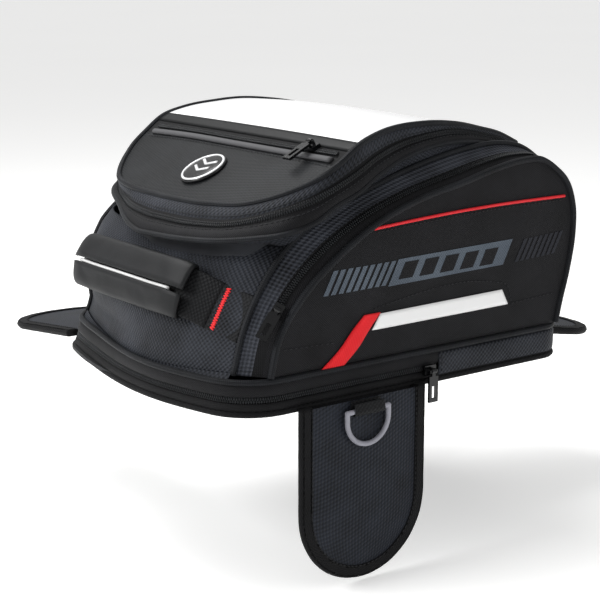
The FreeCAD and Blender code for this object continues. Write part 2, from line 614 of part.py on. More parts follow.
# ---------------------------------------------------------------- zip sliders and pullers
def slider(label, where, long_way="x"):
    """A slider's body with a bridge pin along its y axis, and its puller along +x."""
    length, width = ("slider_long", "slider_wide") if long_way == "x" else \
        ("slider_wide", "slider_long")
    block = doc.addObject("Part::Box", label + "_block")
    bind(block, Length=f"{S}{length}", Width=f"{S}{width}", Height=f"{S}slider_thick")
    bind(block, **{".Placement.Base.x": f"-{S}{length} / 2",
                   ".Placement.Base.y": f"-{S}{width} / 2"})
    pieces = [block]
    for mark, side in (("a", 1), ("b", -1)):
        cheek = doc.addObject("Part::Box", f"{label}_cheek_{mark}")
        cheek.Length = 2.4
        cheek.Width = 0.9
        bind(cheek, Height=f"{S}pin_rise + {S}pin_radius + 0.3")
        cheek.Placement = Placement(Vector(-1.2, 2.9 if side > 0 else -3.8, 0), Rotation())
        pieces.append(cheek)
    pin = doc.addObject("Part::Cylinder", label + "_pin")
    bind(pin, Radius=f"{S}pin_radius")
    pin.Height = 6.6
    pin.Placement = Placement(Vector(0, 3.3, size["pin_rise"]), Rotation(Vector(1, 0, 0), 90))
    body = doc.addObject("Part::MultiFuse", label + "_slider")
    body.Shapes = pieces + [pin]
    body.Placement = where

    eye = doc.addObject("Part::Cylinder", label + "_eye")
    bind(eye, Radius=f"{S}eye_radius")
    eye.Height = 4.6
    eye.Placement = Placement(Vector(0, 2.3, size["pin_rise"]), Rotation(Vector(1, 0, 0), 90))
    neck = doc.addObject("Part::Box", label + "_neck")
    neck.Width = 3.4
    neck.Length = 6
    bind(neck, Height=f"{S}puller_thick")
    neck.Placement = Placement(Vector(0, -1.7, size["pin_rise"] - size["puller_thick"] / 2),
                               Rotation())
    plate = doc.addObject("Part::Box", label + "_plate")
    bind(plate, Length=f"{S}puller_long - 4", Width=f"{S}puller_wide",
         Height=f"{S}puller_thick")
    plate.Placement = Placement(Vector(4, -size["puller_wide"] / 2,
                                       size["pin_rise"] - size["puller_thick"] / 2), Rotation())
    metal = doc.addObject("Part::MultiFuse", label + "_metal")
    metal.Shapes = [eye, neck, plate]
    hole = doc.addObject("Part::Cylinder", label + "_hole")
    bind(hole, Radius=f"{S}pin_radius + 0.35")
    hole.Height = 20
    hole.Placement = Placement(Vector(0, 10, size["pin_rise"]), Rotation(Vector(1, 0, 0), 90))
    window = doc.addObject("Part::Box", label + "_window")
    window.Length = 10
    window.Width = 3.6
    window.Height = 20
    window.Placement = Placement(Vector(12, -1.8, 0), Rotation())
    holes = doc.addObject("Part::MultiFuse", label + "_holes")
    holes.Shapes = [hole, window]
    puller = doc.addObject("Part::Cut", label + "_puller")
    puller.Base = metal
    puller.Tool = holes
    puller.Placement = where


def unit(vector):
    return Vector(vector).normalize()


slider("base_zip", turned(Vector(0, 0, -1), Vector(1, 0, 0), Vector(21.5, -145.6, 12.5)), "y")
lid_slope = unit(Vector(-33, 0, -17))
slider("lid_pocket", turned(lid_slope, Vector(0, -1, 0), Vector(-54, -96, 186.8)), "y")
taper = (size["lid_nose_half"] - size["lid_tall_half"]) / (size["hinge_x"] + 150)
side_run = unit(Vector(1, -taper, 0))
slider("main_zip", turned(side_run * -1, Vector(0, 0, 1), Vector(70, 119.9, 189.5)))
edge_low, edge_high = Vector(-120, 0, 58), Vector(-97, 0, 88)
for place, side in SIDES:
    down = unit(edge_low - edge_high)
    share = 0.66
    mid_seam = (Vector(-138, 0, 64) + Vector(-118, 0, 99)) * 0.5
    mid_edge = (edge_low + edge_high) * 0.5
    across = unit(mid_edge - mid_seam + Vector(0, side * (size["pocket_reach"]
                                                          - size["core_half_width"]), 0))
    face = unit(across.cross(down)) * (-1)
    if face.y * side < 0:
        face = face * (-1)
    at = mid_seam + (mid_edge - mid_seam) * share + Vector(0, side * gusset_level(share), 0)
    slider(f"side_zip_{place}", turned(down, face.cross(down), at + face * 2.4))

# ---------------------------------------------------------------- checks and files
doc.recompute()
NODES = """base_pad base_board base_binding base_band base_zip_lower_chain expansion_sleeve
upper_band base_zip_upper_chain waist_piping body_shell foam_lining body_collar
main_zip_lower_chain front_pipings side_gusset_near side_gusset_far side_zip_chains
handle_end_webbing handle_bartacks lid_side_strip lid_panel lid_pocket_panel map_window
lid_pocket_zip lid_piping main_zip_upper_chain lid_badge side_panel_near side_panel_far
panel_piping_near panel_piping_far reflective_strip_near reflective_strip_far handle_webbing
handle_grip""".split()
NODES += [f"{place}_{part}" for place, _ in FLAPS for part in
          ("flap_panel", "flap_binding", "flap_magnets", "ring_loop", "d_ring")]
NODES += [f"{zipper}_{part}" for zipper in
          ("base_zip", "lid_pocket", "main_zip", "side_zip_near", "side_zip_far")
          for part in ("slider", "puller")]
failed = [o.Name for o in doc.Objects if "Invalid" in o.State or "Error" in o.State]
if failed:
    raise RuntimeError("failed objects: " + ", ".join(failed))
os.makedirs("parts", exist_ok=True)
for node in NODES:
    shape = doc.getObject(node).Shape
    if shape.isNull() or not shape.isValid() or not shape.Solids:
        raise RuntimeError(node + " has no valid solid")
    shape.exportStep(f"parts/{node}.step")
print(len(NODES), "nodes written")
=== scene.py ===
"""Motorcycle tank bag: woven nylon panels, piped seams, coil zips and magnetic flaps.

Shapes are worked out in millimetres in the bag's own frame: +X to the tall end, the handle and
the low nose at -X, -Y the near side, +Z up. They are scaled to metres as each mesh is made.
"""

import json
import math

import bpy
import numpy as np
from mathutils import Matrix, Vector
from mathutils.bvhtree import BVHTree


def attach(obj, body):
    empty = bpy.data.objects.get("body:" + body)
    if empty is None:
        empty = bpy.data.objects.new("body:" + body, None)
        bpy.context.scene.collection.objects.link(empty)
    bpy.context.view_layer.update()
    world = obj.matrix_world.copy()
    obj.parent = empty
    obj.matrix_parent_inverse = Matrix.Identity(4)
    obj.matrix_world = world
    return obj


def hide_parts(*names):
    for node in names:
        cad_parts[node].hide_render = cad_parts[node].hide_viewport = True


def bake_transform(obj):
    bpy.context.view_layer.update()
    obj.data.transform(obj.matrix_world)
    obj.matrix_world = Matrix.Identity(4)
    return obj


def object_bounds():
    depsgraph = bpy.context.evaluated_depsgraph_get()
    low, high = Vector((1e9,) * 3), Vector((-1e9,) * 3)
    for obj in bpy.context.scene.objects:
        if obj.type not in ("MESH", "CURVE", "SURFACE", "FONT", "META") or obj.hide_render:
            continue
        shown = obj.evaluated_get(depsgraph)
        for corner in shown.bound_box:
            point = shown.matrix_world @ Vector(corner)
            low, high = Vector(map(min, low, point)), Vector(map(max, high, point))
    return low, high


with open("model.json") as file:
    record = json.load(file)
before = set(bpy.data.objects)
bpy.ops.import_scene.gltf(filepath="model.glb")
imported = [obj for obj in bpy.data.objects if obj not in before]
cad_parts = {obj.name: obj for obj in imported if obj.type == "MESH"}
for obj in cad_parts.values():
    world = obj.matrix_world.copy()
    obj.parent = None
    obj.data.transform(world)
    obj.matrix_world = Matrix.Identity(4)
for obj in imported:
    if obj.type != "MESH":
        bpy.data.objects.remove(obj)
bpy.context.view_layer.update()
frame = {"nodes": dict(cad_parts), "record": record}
MM = 0.001
UV_MM = 0.01            # one UV unit is 100 mm


# ---------------------------------------------------------------- camera, floor and light
CAMERA_AT, CAMERA_WAY = (-0.745, -1.013, 0.3325), (0.5798, 0.7836, -0.2233)
FLOOR_GAP, FLOOR_REACH = 0.004, 60       # metres
SKY_STRENGTH = 0.52
LIT_POINT = (0, 0, 0.08)
SOFTBOXES = [("overhead_softbox", (-0.2, 0.7, 1.5), 1.0, 22),       # place, width, watts
             ("nose_softbox", (-1.6, 0.3, 1.1), 0.8, 26),
             ("near_softbox", (0.7, -1.7, 0.8), 1.0, 6)]


def make_camera():
    data = bpy.data.cameras.new("camera")
    data.lens = 91.4
    data.sensor_width = 36
    camera = bpy.data.objects.new("camera", data)
    camera.location = CAMERA_AT
    camera.rotation_euler = Vector(CAMERA_WAY).to_track_quat("-Z", "Y").to_euler()
    bpy.context.scene.collection.objects.link(camera)
    bpy.context.scene.camera = camera


def make_light(name, at, width, power):
    data = bpy.data.lights.new(name, "AREA")
    data.shape = "SQUARE"
    data.size = width
    data.energy = power
    light = bpy.data.objects.new(name, data)
    light.location = at
    way = Vector(LIT_POINT) - Vector(at)
    light.rotation_euler = way.to_track_quat("-Z", "Y").to_euler()
    bpy.context.scene.collection.objects.link(light)


def make_studio():
    """A pale sweep just under the lowest flap, a white sky and three softboxes."""
    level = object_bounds()[0][2] - FLOOR_GAP
    mesh = bpy.data.meshes.new("floor")
    mesh.from_pydata([(x * FLOOR_REACH, y * FLOOR_REACH, level) for x, y in
                      ((-1, -1), (1, -1), (1, 1), (-1, 1))], [], [(0, 1, 2, 3)])
    mesh.materials.append(studio_paint())
    floor = bpy.data.objects.new("floor", mesh)
    bpy.context.scene.collection.objects.link(floor)
    world = bpy.data.worlds.new("studio")
    world.use_nodes = True
    sky = world.node_tree.nodes["Background"].inputs
    sky["Color"].default_value = (1, 1, 1, 1)
    sky["Strength"].default_value = SKY_STRENGTH
    bpy.context.scene.world = world
    bpy.context.scene.view_settings.view_transform = "Standard"
    for name, at, width, power in SOFTBOXES:
        make_light(name, at, width, power)


# ---------------------------------------------------------------- materials
def linear(code):
    """sRGB hex to a linear colour with alpha."""
    parts = [int(code[i:i + 2], 16) / 255 for i in (1, 3, 5)]
    return [p / 12.92 if p <= 0.04045 else ((p + 0.055) / 1.055) ** 2.4 for p in parts] + [1]


def add(tree, kind, inputs=None, **settings):
    """Add a node with its settings; an input that is a socket is linked, a value is set."""
    node = tree.nodes.new(kind)
    for key, value in settings.items():
        setattr(node, key, value)
    for key, value in (inputs or {}).items():
        if isinstance(value, bpy.types.NodeSocket):
            tree.links.new(value, node.inputs[key])
        else:
            node.inputs[key].default_value = value
    return node


def finish(name, build):
    """A material whose build function returns the shader's inputs."""
    if name not in bpy.data.materials:
        material = bpy.data.materials.new(name)
        material.use_nodes = True
        tree = material.node_tree
        tree.nodes.clear()
        shader = add(tree, "ShaderNodeBsdfPrincipled", build(tree))
        add(tree, "ShaderNodeOutputMaterial", {"Surface": shader.outputs["BSDF"]})
    return bpy.data.materials[name]


def weave(tree, across_mm, along_mm, turn):
    """Height of crossing threads, -1 in the holes to 1 on the crowns, at real pitches."""
    place = add(tree, "ShaderNodeUVMap", uv_map="UVMap")
    turned = add(tree, "ShaderNodeVectorRotate", {"Vector": place.outputs["UV"], "Angle": turn},
                 rotation_type="Z_AXIS")
    axes = add(tree, "ShaderNodeSeparateXYZ", {"Vector": turned.outputs["Vector"]})
    waves = []
    for axis, pitch in ((0, across_mm), (1, along_mm)):
        phase = add(tree, "ShaderNodeMath", {0: axes.outputs[axis],
                    1: math.pi / (pitch * UV_MM)}, operation="MULTIPLY")
        waves.append(add(tree, "ShaderNodeMath", {0: phase.outputs[0]}, operation="SINE"))
    return add(tree, "ShaderNodeMath", {0: waves[0].outputs[0], 1: waves[1].outputs[0]},
               operation="MULTIPLY").outputs[0]


def spots(tree, size_mm, detail):
    """Soft random variation of that size, from 0 to 1."""
    place = add(tree, "ShaderNodeTexCoord")
    return add(tree, "ShaderNodeTexNoise", {"Vector": place.outputs["Object"],
               "Scale": 1 / (size_mm * MM), "Detail": detail}).outputs["Fac"]


MATT_CLOTH = 0.12       # specular level of dull coated yarn


def cloth(name, dark, light, across_mm, along_mm, depth_mm, rough, turn=0.0, sheen=0.02):
    """Woven cloth: the colour is painted light on the thread crowns, a painted highlight, and
    dark in the gaps, painted shade; the dye drifts slowly.
    """
    def build(tree):
        height = weave(tree, across_mm, along_mm, turn)
        worn = spots(tree, 30, 3)
        # Painted highlight and shade: the weave's height lifts the colour towards the light
        # colour on the thread crowns and drops it towards the dark colour in the gaps; worn adds
        # the dye's own slow drift.
        crown_highlight_and_dye = add(tree, "ShaderNodeMath", {0: height, 1: 0.32, 2: worn},
                  operation="MULTIPLY_ADD")
        colour = add(tree, "ShaderNodeMix", {0: crown_highlight_and_dye.outputs[0], 6: linear(dark),
                     7: linear(light)}, data_type="RGBA")
        bump = add(tree, "ShaderNodeBump", {"Height": height, "Distance": depth_mm * MM})
        return {"Base Color": colour.outputs[2], "Roughness": rough, "Sheen Weight": sheen,
                "Sheen Roughness": 0.45, "Specular IOR Level": MATT_CLOTH,
                "Normal": bump.outputs["Normal"]}
    return finish(name, build)


def moulded(name, dark, light, grain_mm, depth_mm, rough, coat=0.0, metallic=0.0,
            shine=0.22):
    """A moulded, coated or plated surface: fine grain, and tone that drifts with handling."""
    def build(tree):
        grain = spots(tree, grain_mm, 2)
        colour = add(tree, "ShaderNodeMix", {0: spots(tree, 25, 3), 6: linear(dark),
                     7: linear(light)}, data_type="RGBA")
        bump = add(tree, "ShaderNodeBump", {"Height": grain, "Distance": depth_mm * MM})
        return {"Base Color": colour.outputs[2], "Roughness": rough, "Metallic": metallic,
                "Coat Weight": coat, "Coat Roughness": 0.12, "Specular IOR Level": shine,
                "Normal": bump.outputs["Normal"]}
    return finish(name, build)


def ballistic_nylon():
    """1680 denier nylon, PU backed: square basket weave, painted highlight on the crowns and
    painted shade in the gaps. Its threads are drawn at 2 mm, coarser than real, so that they
    show."""
    return cloth("ballistic_nylon", "#040405", "#34373e", 2.0, 2.0, 0.34, 0.55)


def panel_nylon():
    """900 denier nylon of the side pockets: the same weave, finer, blacker and flatter."""
    return cloth("panel_nylon", "#050506", "#1b1b1e", 0.9, 0.9, 0.14, 0.6)


def sandwich_mesh():
    """Knitted spacer mesh of the gussets: deep open holes on the bias. They are drawn at
    2.2 mm, coarser than real, so that they show."""
    return cloth("sandwich_mesh", "#030304", "#42454d", 2.2, 2.2, 0.5, 0.55, 0.785)


def corded_nylon():
    """Fine corded nylon of the lid pocket: close charcoal ribs."""
    return cloth("corded_nylon", "#090a0b", "#1d1f22", 0.9, 3.6, 0.12, 0.48)


def twill_nylon():
    """Blue-black diagonal twill of the flaps, with a soft shine along its ribs, partly from the
    sheen and partly painted as a lighter crown on each rib. They are drawn at 1.8 mm, coarser
    than real, so that they show."""
    return cloth("twill_nylon", "#050608", "#272b34", 1.8, 2.8, 0.26, 0.5, 0.6)


def grosgrain():
    """Grosgrain binding: dense cross ribs, dull."""
    return cloth("grosgrain_binding", "#030304", "#101012", 1.0, 2.2, 0.16, 0.66)


def webbing_nylon():
    """Close-woven nylon webbing with a slight sheen. Its warps are drawn at 2 mm, coarser
    than real, so that they show."""
    return cloth("webbing_nylon", "#050506", "#1b1c1e", 2.0, 1.6, 0.18, 0.56)


def zip_tape():
    """Herringbone polyester zip tape."""
    return cloth("zip_tape", "#040405", "#141416", 0.9, 0.9, 0.12, 0.62, 0.6)


def piping_cloth():
    """Nylon wrapped round a cord on the bias."""
    return cloth("bias_piping", "#060607", "#202226", 1.1, 1.1, 0.14, 0.52, 0.785)


def lining_cloth():
    """Thin grey lining over foam, with a faint shine."""
    return cloth("lining_cloth", "#1c1d20", "#34363b", 0.8, 0.8, 0.06, 0.45)


def red_ribbon():
    """Tightly woven red ribbon."""
    return cloth("red_ribbon", "#c11119", "#e6292f", 1.6, 0.8, 0.1, 0.5)


def screen_ink():
    """Grey-blue screen print: matt rubber ink that lets the weave under it through."""
    return cloth("screen_ink", "#3e454e", "#59626c", 1.3, 1.3, 0.1, 0.55, 0.0, 0.0)


def dark_ink():
    """The same ink, printed thin."""
    return cloth("thin_screen_ink", "#1a1b20", "#292b31", 0.9, 0.9, 0.1, 0.55, 0.0, 0.0)


def pad_rubber():
    """Rubberised anti-slip mesh under the base: a coarse grid, matt."""
    return cloth("anti_slip_rubber", "#0a0a0b", "#1c1c1e", 3.0, 3.0, 0.6, 0.75)


def piping_vinyl():
    """PU-coated piping, calendered: satin black with a faint leather grain."""
    return moulded("piping_vinyl", "#040405", "#0f1011", 1.4, 0.08, 0.5, shine=0.12)


def grey_trim():
    """Smooth dark grey PU along the window."""
    return moulded("grey_trim_vinyl", "#08090a", "#131415", 1.5, 0.05, 0.45, shine=0.15)


def neoprene():
    """Rubbed neoprene of the grip: soft, with a fine grain."""
    return moulded("grip_neoprene", "#0a0b0c", "#1a1b1d", 0.9, 0.12, 0.55)


def coil_nylon():
    """Extruded nylon coil: smooth monofilament that glints."""
    return moulded("coil_nylon", "#0c0d0e", "#222427", 4, 0.01, 0.3)


def gunmetal():
    """Die-cast zinc under black enamel."""
    return moulded("gunmetal_enamel", "#070708", "#151618", 3, 0.02, 0.26, 0.5, 0.5)


def ring_enamel():
    """Welded steel ring under grey enamel, a little chipped."""
    return moulded("grey_enamel", "#777780", "#9a9aa3", 2.5, 0.05, 0.4, 0.2)


def fibre_board():
    """Pressed polyethylene board, matt black."""
    return moulded("base_board", "#0c0d0f", "#17181a", 1.4, 0.08, 0.6)


def red_vinyl():
    """Thin glossy red vinyl piping."""
    return moulded("red_vinyl", "#c4161f", "#e3323a", 6, 0.02, 0.36)


def silver_tape():
    """Glass-bead reflective tape: bright grey under a clear face."""
    return moulded("reflective_tape", "#8b9093", "#abb0b3", 1.0, 0.02, 0.34, 0.4, 0.2)


def window_vinyl():
    """Clear PVC, coloured pale grey as a painted reflection of the bright light on it: glossy,
    gently rippled.
    """
    return moulded("window_vinyl", "#9da2a2", "#b6bbbb", 40, 1.2, 0.24, 0.6)


def badge_black():
    """Glossy black moulded rubber."""
    return moulded("badge_black", "#09090a", "#131315", 8, 0.01, 0.2, 0.4)


def badge_silver():
    """Silver foil stamped on the badge's raised lines."""
    return moulded("badge_silver", "#c9cacb", "#f0f0f1", 6, 0.01, 0.28, 0.0, 0.3)


def black_thread():
    """Bonded polyester thread."""
    return moulded("sewing_thread", "#151618", "#26272a", 1, 0.02, 0.5)


def red_thread():
    """Bright red bonded thread, laid close."""
    return moulded("red_thread", "#c8141d", "#ea3a3d", 0.8, 0.1, 0.5)


def studio_paint():
    """Matt white paint that glows a little, as a light table does, to soften shadows."""
    def build(tree):
        tone = add(tree, "ShaderNodeMix", {0: spots(tree, 900, 1), 6: linear("#f4f4f3"),
                   7: linear("#f8f8f7")}, data_type="RGBA")
        return {"Base Color": tone.outputs[2], "Roughness": 0.9,
                "Emission Color": linear("#ffffff"), "Emission Strength": 0.33}
    return finish("studio_sweep", build)


# ---------------------------------------------------------------- curves
def arr(points):
    return np.array(points, float)


def unit(v):
    v = arr(v)
    return v / np.maximum(np.linalg.norm(v, axis=-1, keepdims=True), 1e-9)


def length_of(curve):
    return np.linalg.norm(np.diff(curve, axis=0), axis=1).sum()


def even(curve, count):
    """The same curve with count evenly spaced points."""
    run = np.concatenate([[0], np.cumsum(np.linalg.norm(np.diff(curve, axis=0), axis=1))])
    where = np.linspace(0, run[-1], count)
    return np.stack([np.interp(where, run, curve[:, k]) for k in range(curve.shape[1])], 1)


def through(points, per=16):
    """A smooth curve through given points, per steps between neighbours."""
    p = arr(points)
    p = np.vstack([2 * p[0] - p[1], p, 2 * p[-1] - p[-2]])
    gaps = np.maximum(np.linalg.norm(np.diff(p, axis=0), axis=1), 1e-6)
    slope = np.diff(p, axis=0) / gaps[:, None]
    out = []
    for i in range(1, len(p) - 2):
        first, last = ((slope[k - 1] * gaps[k] + slope[k] * gaps[k - 1]) / (gaps[k - 1] + gaps[k])
                       for k in (i, i + 1))
        t = np.linspace(0, 1, per, endpoint=False)[:, None]
        out.append((2 * t**3 - 3 * t**2 + 1) * p[i] + (t**3 - 2 * t**2 + t) * gaps[i] * first
                   + (3 * t**2 - 2 * t**3) * p[i + 1] + (t**3 - t**2) * gaps[i] * last)
    return np.vstack(out + [p[-2][None]])


def smooth(points, step=3.0):
    curve = through(points)
    return even(curve, max(3, int(round(length_of(curve) / step)) + 1))


def mirrored(points):
    return arr(points) * [1, -1, 1]


def round_nose(half):
    """A full U from its far half: far side from the tall end, nose, near side."""
    far = arr(half)
    return np.vstack([far[::-1], mirrored(far[1:])])


def tangents(path, looped=False):
    step = np.roll(path, -1, 0) - np.roll(path, 1, 0) if looped else np.gradient(path, axis=0)
    return unit(step)


def sides(path, hint, looped=False):
    """Unit directions at each point of a path: outward, kept close to hint, and across."""
    along = tangents(path, looped)
    hint = np.broadcast_to(arr(hint), path.shape)
    out = unit(hint - along * (hint * along).sum(1)[:, None])
    return out, np.cross(along, out)


def respaced(values, count):
    """Directions given along a path, read again at count even places."""
    old = np.linspace(0, 1, len(values))
    new = np.linspace(0, 1, count)
    return np.stack([np.interp(new, old, values[:, k]) for k in range(3)], 1)


def base_outline(grow=0.0, step=4.0):
    """Plan of the base as a loop from the nose along the near side: big nose arc, nose
    corners, straight sides and tall corners."""
    nose, corner, tall, half, end = 392, 44, 24, 143, 175
    middle = nose - end
    corner_y = half - corner
    corner_x = middle - math.sqrt((nose - corner) ** 2 - corner_y ** 2)
    swing = math.asin(corner_y / (nose - corner))
    turns = [(middle, 0, nose + grow, math.pi, math.pi - swing),
             (corner_x, corner_y, corner + grow, math.pi - swing, math.pi / 2),
             (end - tall, half - tall, tall + grow, math.pi / 2, 0)]
    far = [(cx + r * math.cos(a), cy + r * math.sin(a))
           for cx, cy, r, first, last in turns for a in np.linspace(first, last, 24)]
    far = arr(far)
    loop = np.vstack([far * [1, -1], far[::-1][:-1]])
    closed = np.vstack([loop, loop[:1]])
    return even(closed, int(length_of(closed) / step) + 1)[:-1]


def at_level(plan, z):
    return np.column_stack([plan, np.full(len(plan), float(z))])


# lines of the far half, nose to tall end, (x, y, z)
RIM = [(-128, 0, 145), (-124, 60, 146.5), (-114, 93, 149.5), (-103, 109, 154.5),
       (-89, 123, 162), (-75, 132.5, 170.5), (-62, 136, 179), (-43, 136, 192),
       (-24, 132, 198), (5, 126, 202), (31, 126, 203), (65, 120, 200), (100, 112, 193),
       (128, 107, 186), (150, 104, 177)]
ZIP = [(-140, 0, 132), (-137, 60, 133), (-128, 96, 136.5), (-118, 113, 141),
       (-103, 127, 147.5), (-86, 135.5, 154.5), (-66, 139, 163), (-45, 138, 172),
       (-24, 134, 181), (5, 129, 189), (31, 127, 193), (65, 122, 194), (100, 116, 188),
       (128, 112, 181), (150, 109, 171)]
COLLAR = [(-151, 0, 120), (-148, 60, 122.5), (-140, 100, 126), (-128, 120, 129),
          (-112, 134, 132), (-87, 138, 138), (-64, 138, 150), (-45, 138, 157),
          (-24, 134, 167), (5, 130, 178), (31, 128, 184), (65, 124, 186), (100, 119, 182),
          (128, 115, 175), (150, 112, 165)]
TUCK = [(-132, 0, 118), (-126, 60, 119.5), (-115, 100, 121), (-107, 112, 121.5),
        (-98, 122.3, 121), (-81, 122.3, 131), (-60, 122.3, 143), (-38, 122.3, 152),
        (-10, 122.3, 161), (12, 122.3, 168), (35, 122.3, 173), (75, 122.3, 180),
        (105, 122.3, 182), (130, 120, 178), (150, 117, 166)]
LID_RIDGE = [(-128, 145), (-100, 160), (-60, 182), (-30, 199), (4, 208), (46, 205), (79, 199),
             (112, 190), (141, 183), (150, 180)]
# side seams, (x, z)
FRONT_SEAM = [(-148, 31), (-138, 64), (-118, 99), (-98, 121), (-60, 143), (-10, 161),
              (35, 173), (75, 180), (110, 182), (137, 177), (157, 165), (176, 147),
              (185, 125), (185, 103), (180, 74), (172, 45), (169, 31)]
PANEL_EDGE = [(-128, 29.6), (-120, 58), (-97, 88), (-68, 111), (-28, 134), (13, 148), (57, 157),
              (92, 165), (120, 169), (142, 168), (157, 160), (171, 148), (180, 127),
              (181, 104), (176, 74), (168, 45), (164.5, 29.6)]
SEAM_Y, PANEL_Y = 122.3, 143.2
WAIST = 27.0
NOSE_X, NOSE_RADIUS = -173, 310
HANDLE = [(-134, -122.5, 70), (-144, -96, 77), (-152, -84, 83), (-157, -76, 86),
          (-161.5, -40, 88), (-162.5, 0, 88.5), (-161.5, 40, 88), (-157, 76, 86),
          (-152, 84, 83), (-144, 96, 77), (-134, 122.5, 70)]


def nose_arc(nose, y):
    """X of the nose wall at y, where its middle is at nose."""
    return nose + NOSE_RADIUS - np.sqrt(NOSE_RADIUS**2 - y**2)


def side_line(points, y, per=10):
    """A side seam as a smooth 3-D line at that distance from the centre line."""
    flat = through(points, per)
    return np.column_stack([flat[:, 0], np.full(len(flat), float(y)), flat[:, 1]])


def on_side(line, side):
    return line if side > 0 else mirrored(line)


def ease(t):
    t = np.clip(t, 0, 1)
    return t * t * (3 - 2 * t)


def give(points):
    """How far the filled bag's soft far nose corner sits in from its pattern, in mm."""
    x, y, z = arr(points).T
    share = ease((y + 70) / 150) * ease((-x - 10) / 100)
    share = share * np.interp(z, [-5, 5, 25, 45, 60, 85, 110, 150],
                              [0.55, 0.6, 1, 0.95, 0.6, 0.05, -0.2, 0])
    return np.column_stack([15 * share, -6 * share * ease((z - 18) / 27), 0 * share])


def corner_drawn(line, shift):
    """A lid seam whose far nose corner is drawn in under the lid by the zip."""
    share = ease((line[:, 1] + 10) / 110) * ease((-line[:, 0] - 5) / 100)
    return line + arr(shift) * share[:, None]


rim_fine = through(RIM, 24)
ridge_fine = through(LID_RIDGE, 24)


def rim_at(x):
    """Half width and height of the lid's rim at x."""
    return (np.interp(x, rim_fine[:, 0], rim_fine[:, 1]),
            np.interp(x, rim_fine[:, 0], rim_fine[:, 2]))


def lid_height(x, y):
    """The lid's top: crowned between its rims, following the ridge from nose to hinge."""
    half, rim = rim_at(x)
    ridge = np.interp(x, ridge_fine[:, 0], ridge_fine[:, 1])
    return rim + (ridge - rim) * np.clip(1 - (y / np.maximum(half, 1)) ** 2, 0, 1)


# ---------------------------------------------------------------- meshes
# bodies whose cloth has the soft far nose corner; None is cloth blended between two of them
SOFT_BODIES = (None, "base", "bag_body", "lid", "pocket_door_far")
# pieces placed on cloth that already has its give
LAID = ("handle", "bar_tack", "print", "thin_print", "reflective_tape", "red_", "tape_frame",
        "panel_stitches")


def piece(name, points, faces, uvs, maker, body, replaces=()):
    """A mesh piece, from millimetres, that rides on a body."""
    points = arr(points)
    if body in SOFT_BODIES and not name.startswith(LAID):
        points = points + give(points)
    mesh = bpy.data.meshes.new(name)
    mesh.from_pydata([tuple(p) for p in points * MM], [], faces)
    mesh.polygons.foreach_set("use_smooth", [True] * len(mesh.polygons))
    layer = mesh.uv_layers.new(name="UVMap")
    layer.data.foreach_set("uv", (arr(uvs).reshape(-1) * UV_MM).astype(np.float32))
    mesh.materials.append(maker())
    made = bpy.data.objects.new(name, mesh)
    bpy.context.scene.collection.objects.link(made)
    if body:
        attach(made, body)
    if replaces:
        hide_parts(*replaces)
    return made


def grid(name, rows, maker, body, replaces=(), around=False, looped=False, caps=False,
         thick=0.0, plane=None):
    """A sheet through rows of points. around closes each row, looped joins the last row to the
    first. The weave follows the rows, or the two axes named by plane."""
    g = arr(rows)
    n, m = g.shape[:2]
    wide = np.concatenate([g, g[:, :1]], 1) if around else g
    tall = np.concatenate([wide, wide[:1]], 0) if looped else wide
    u = np.concatenate([[0], np.cumsum(np.linalg.norm(np.diff(tall, axis=1), axis=2).mean(0))])
    v = np.concatenate([[0], np.cumsum(np.linalg.norm(np.diff(tall, axis=0), axis=2).mean(1))])
    faces, uvs = [], []
    for i in range(tall.shape[0] - 1):
        for j in range(tall.shape[1] - 1):
            corners = ((i, j), (i, j + 1), (i + 1, j + 1), (i + 1, j))
            faces.append(tuple((a % n) * m + b % m for a, b in corners))
            uvs += [(u[b], v[a]) for a, b in corners] if plane is None else \
                [tall[a, b][list(plane)] for a, b in corners]
    if caps:
        for row, order in ((0, range(m - 1, -1, -1)), (n - 1, range(m))):
            faces.append(tuple(row * m + k for k in order))
            uvs += [(u[k], v[row]) for k in order]
    made = piece(name, g.reshape(-1, 3), faces, uvs, maker, body, replaces)
    if thick:
        shell = made.modifiers.new("cloth_thickness", "SOLIDIFY")
        shell.thickness = thick * MM
        shell.offset = -1
    return made


def ruled(first, last, count, bulge=0.0, out=None):
    """Rows from one line to another, bowed outward by bulge between them."""
    first, last = arr(first), arr(last)
    rows = []
    for t in np.linspace(0, 1, count):
        row = first * (1 - t) + last * t
        if bulge:
            row = row + out * bulge * math.sin(math.pi * t) ** 0.7
        rows.append(row)
    return rows


def patch(bottom, top, left, right, count):
    """Rows of a sheet held by four lines; bottom and top run from left to right."""
    left, right = even(left, count), even(right, count)
    n = len(bottom)
    top = even(top, n)
    u = np.linspace(0, 1, n)[:, None]
    rows = []
    for k, t in enumerate(np.linspace(0, 1, count)):
        across = bottom * (1 - t) + top * t + left[k] * (1 - u) + right[k] * u
        corners = ((bottom[0] * (1 - u) + bottom[-1] * u) * (1 - t)
                   + (top[0] * (1 - u) + top[-1] * u) * t)
        rows.append(across - corners)
    return rows


def swept(name, path, hint, section, maker, body, replaces=(), looped=False):
    """A closed section, as (outward, across) points, carried along a path."""
    out, across = sides(path, hint, looped)
    section = arr(section)
    rows = (path[:, None] + out[:, None] * section[None, :, :1]
            + across[:, None] * section[None, :, 1:])
    return grid(name, rows, maker, body, replaces, around=True, looped=looped,
                caps=not looped)


def cord_section(radius, count=12):
    turn = np.linspace(0, 2 * math.pi, count, endpoint=False)
    return np.stack([np.cos(turn), np.sin(turn)], 1) * radius


def strap_section(wide, thick):
    """A flat strap with rounded selvedges."""
    half, edge = wide / 2, thick / 2
    turn = np.linspace(-math.pi / 2, math.pi / 2, 5)
    right = [(edge * math.sin(a), half - edge + edge * math.cos(a)) for a in turn]
    left = [(-o, -s) for o, s in right]
    across = np.linspace(half * 0.7, -half * 0.7, 7)
    return right + [(edge, s) for s in across] + left + [(-edge, -s) for s in across]


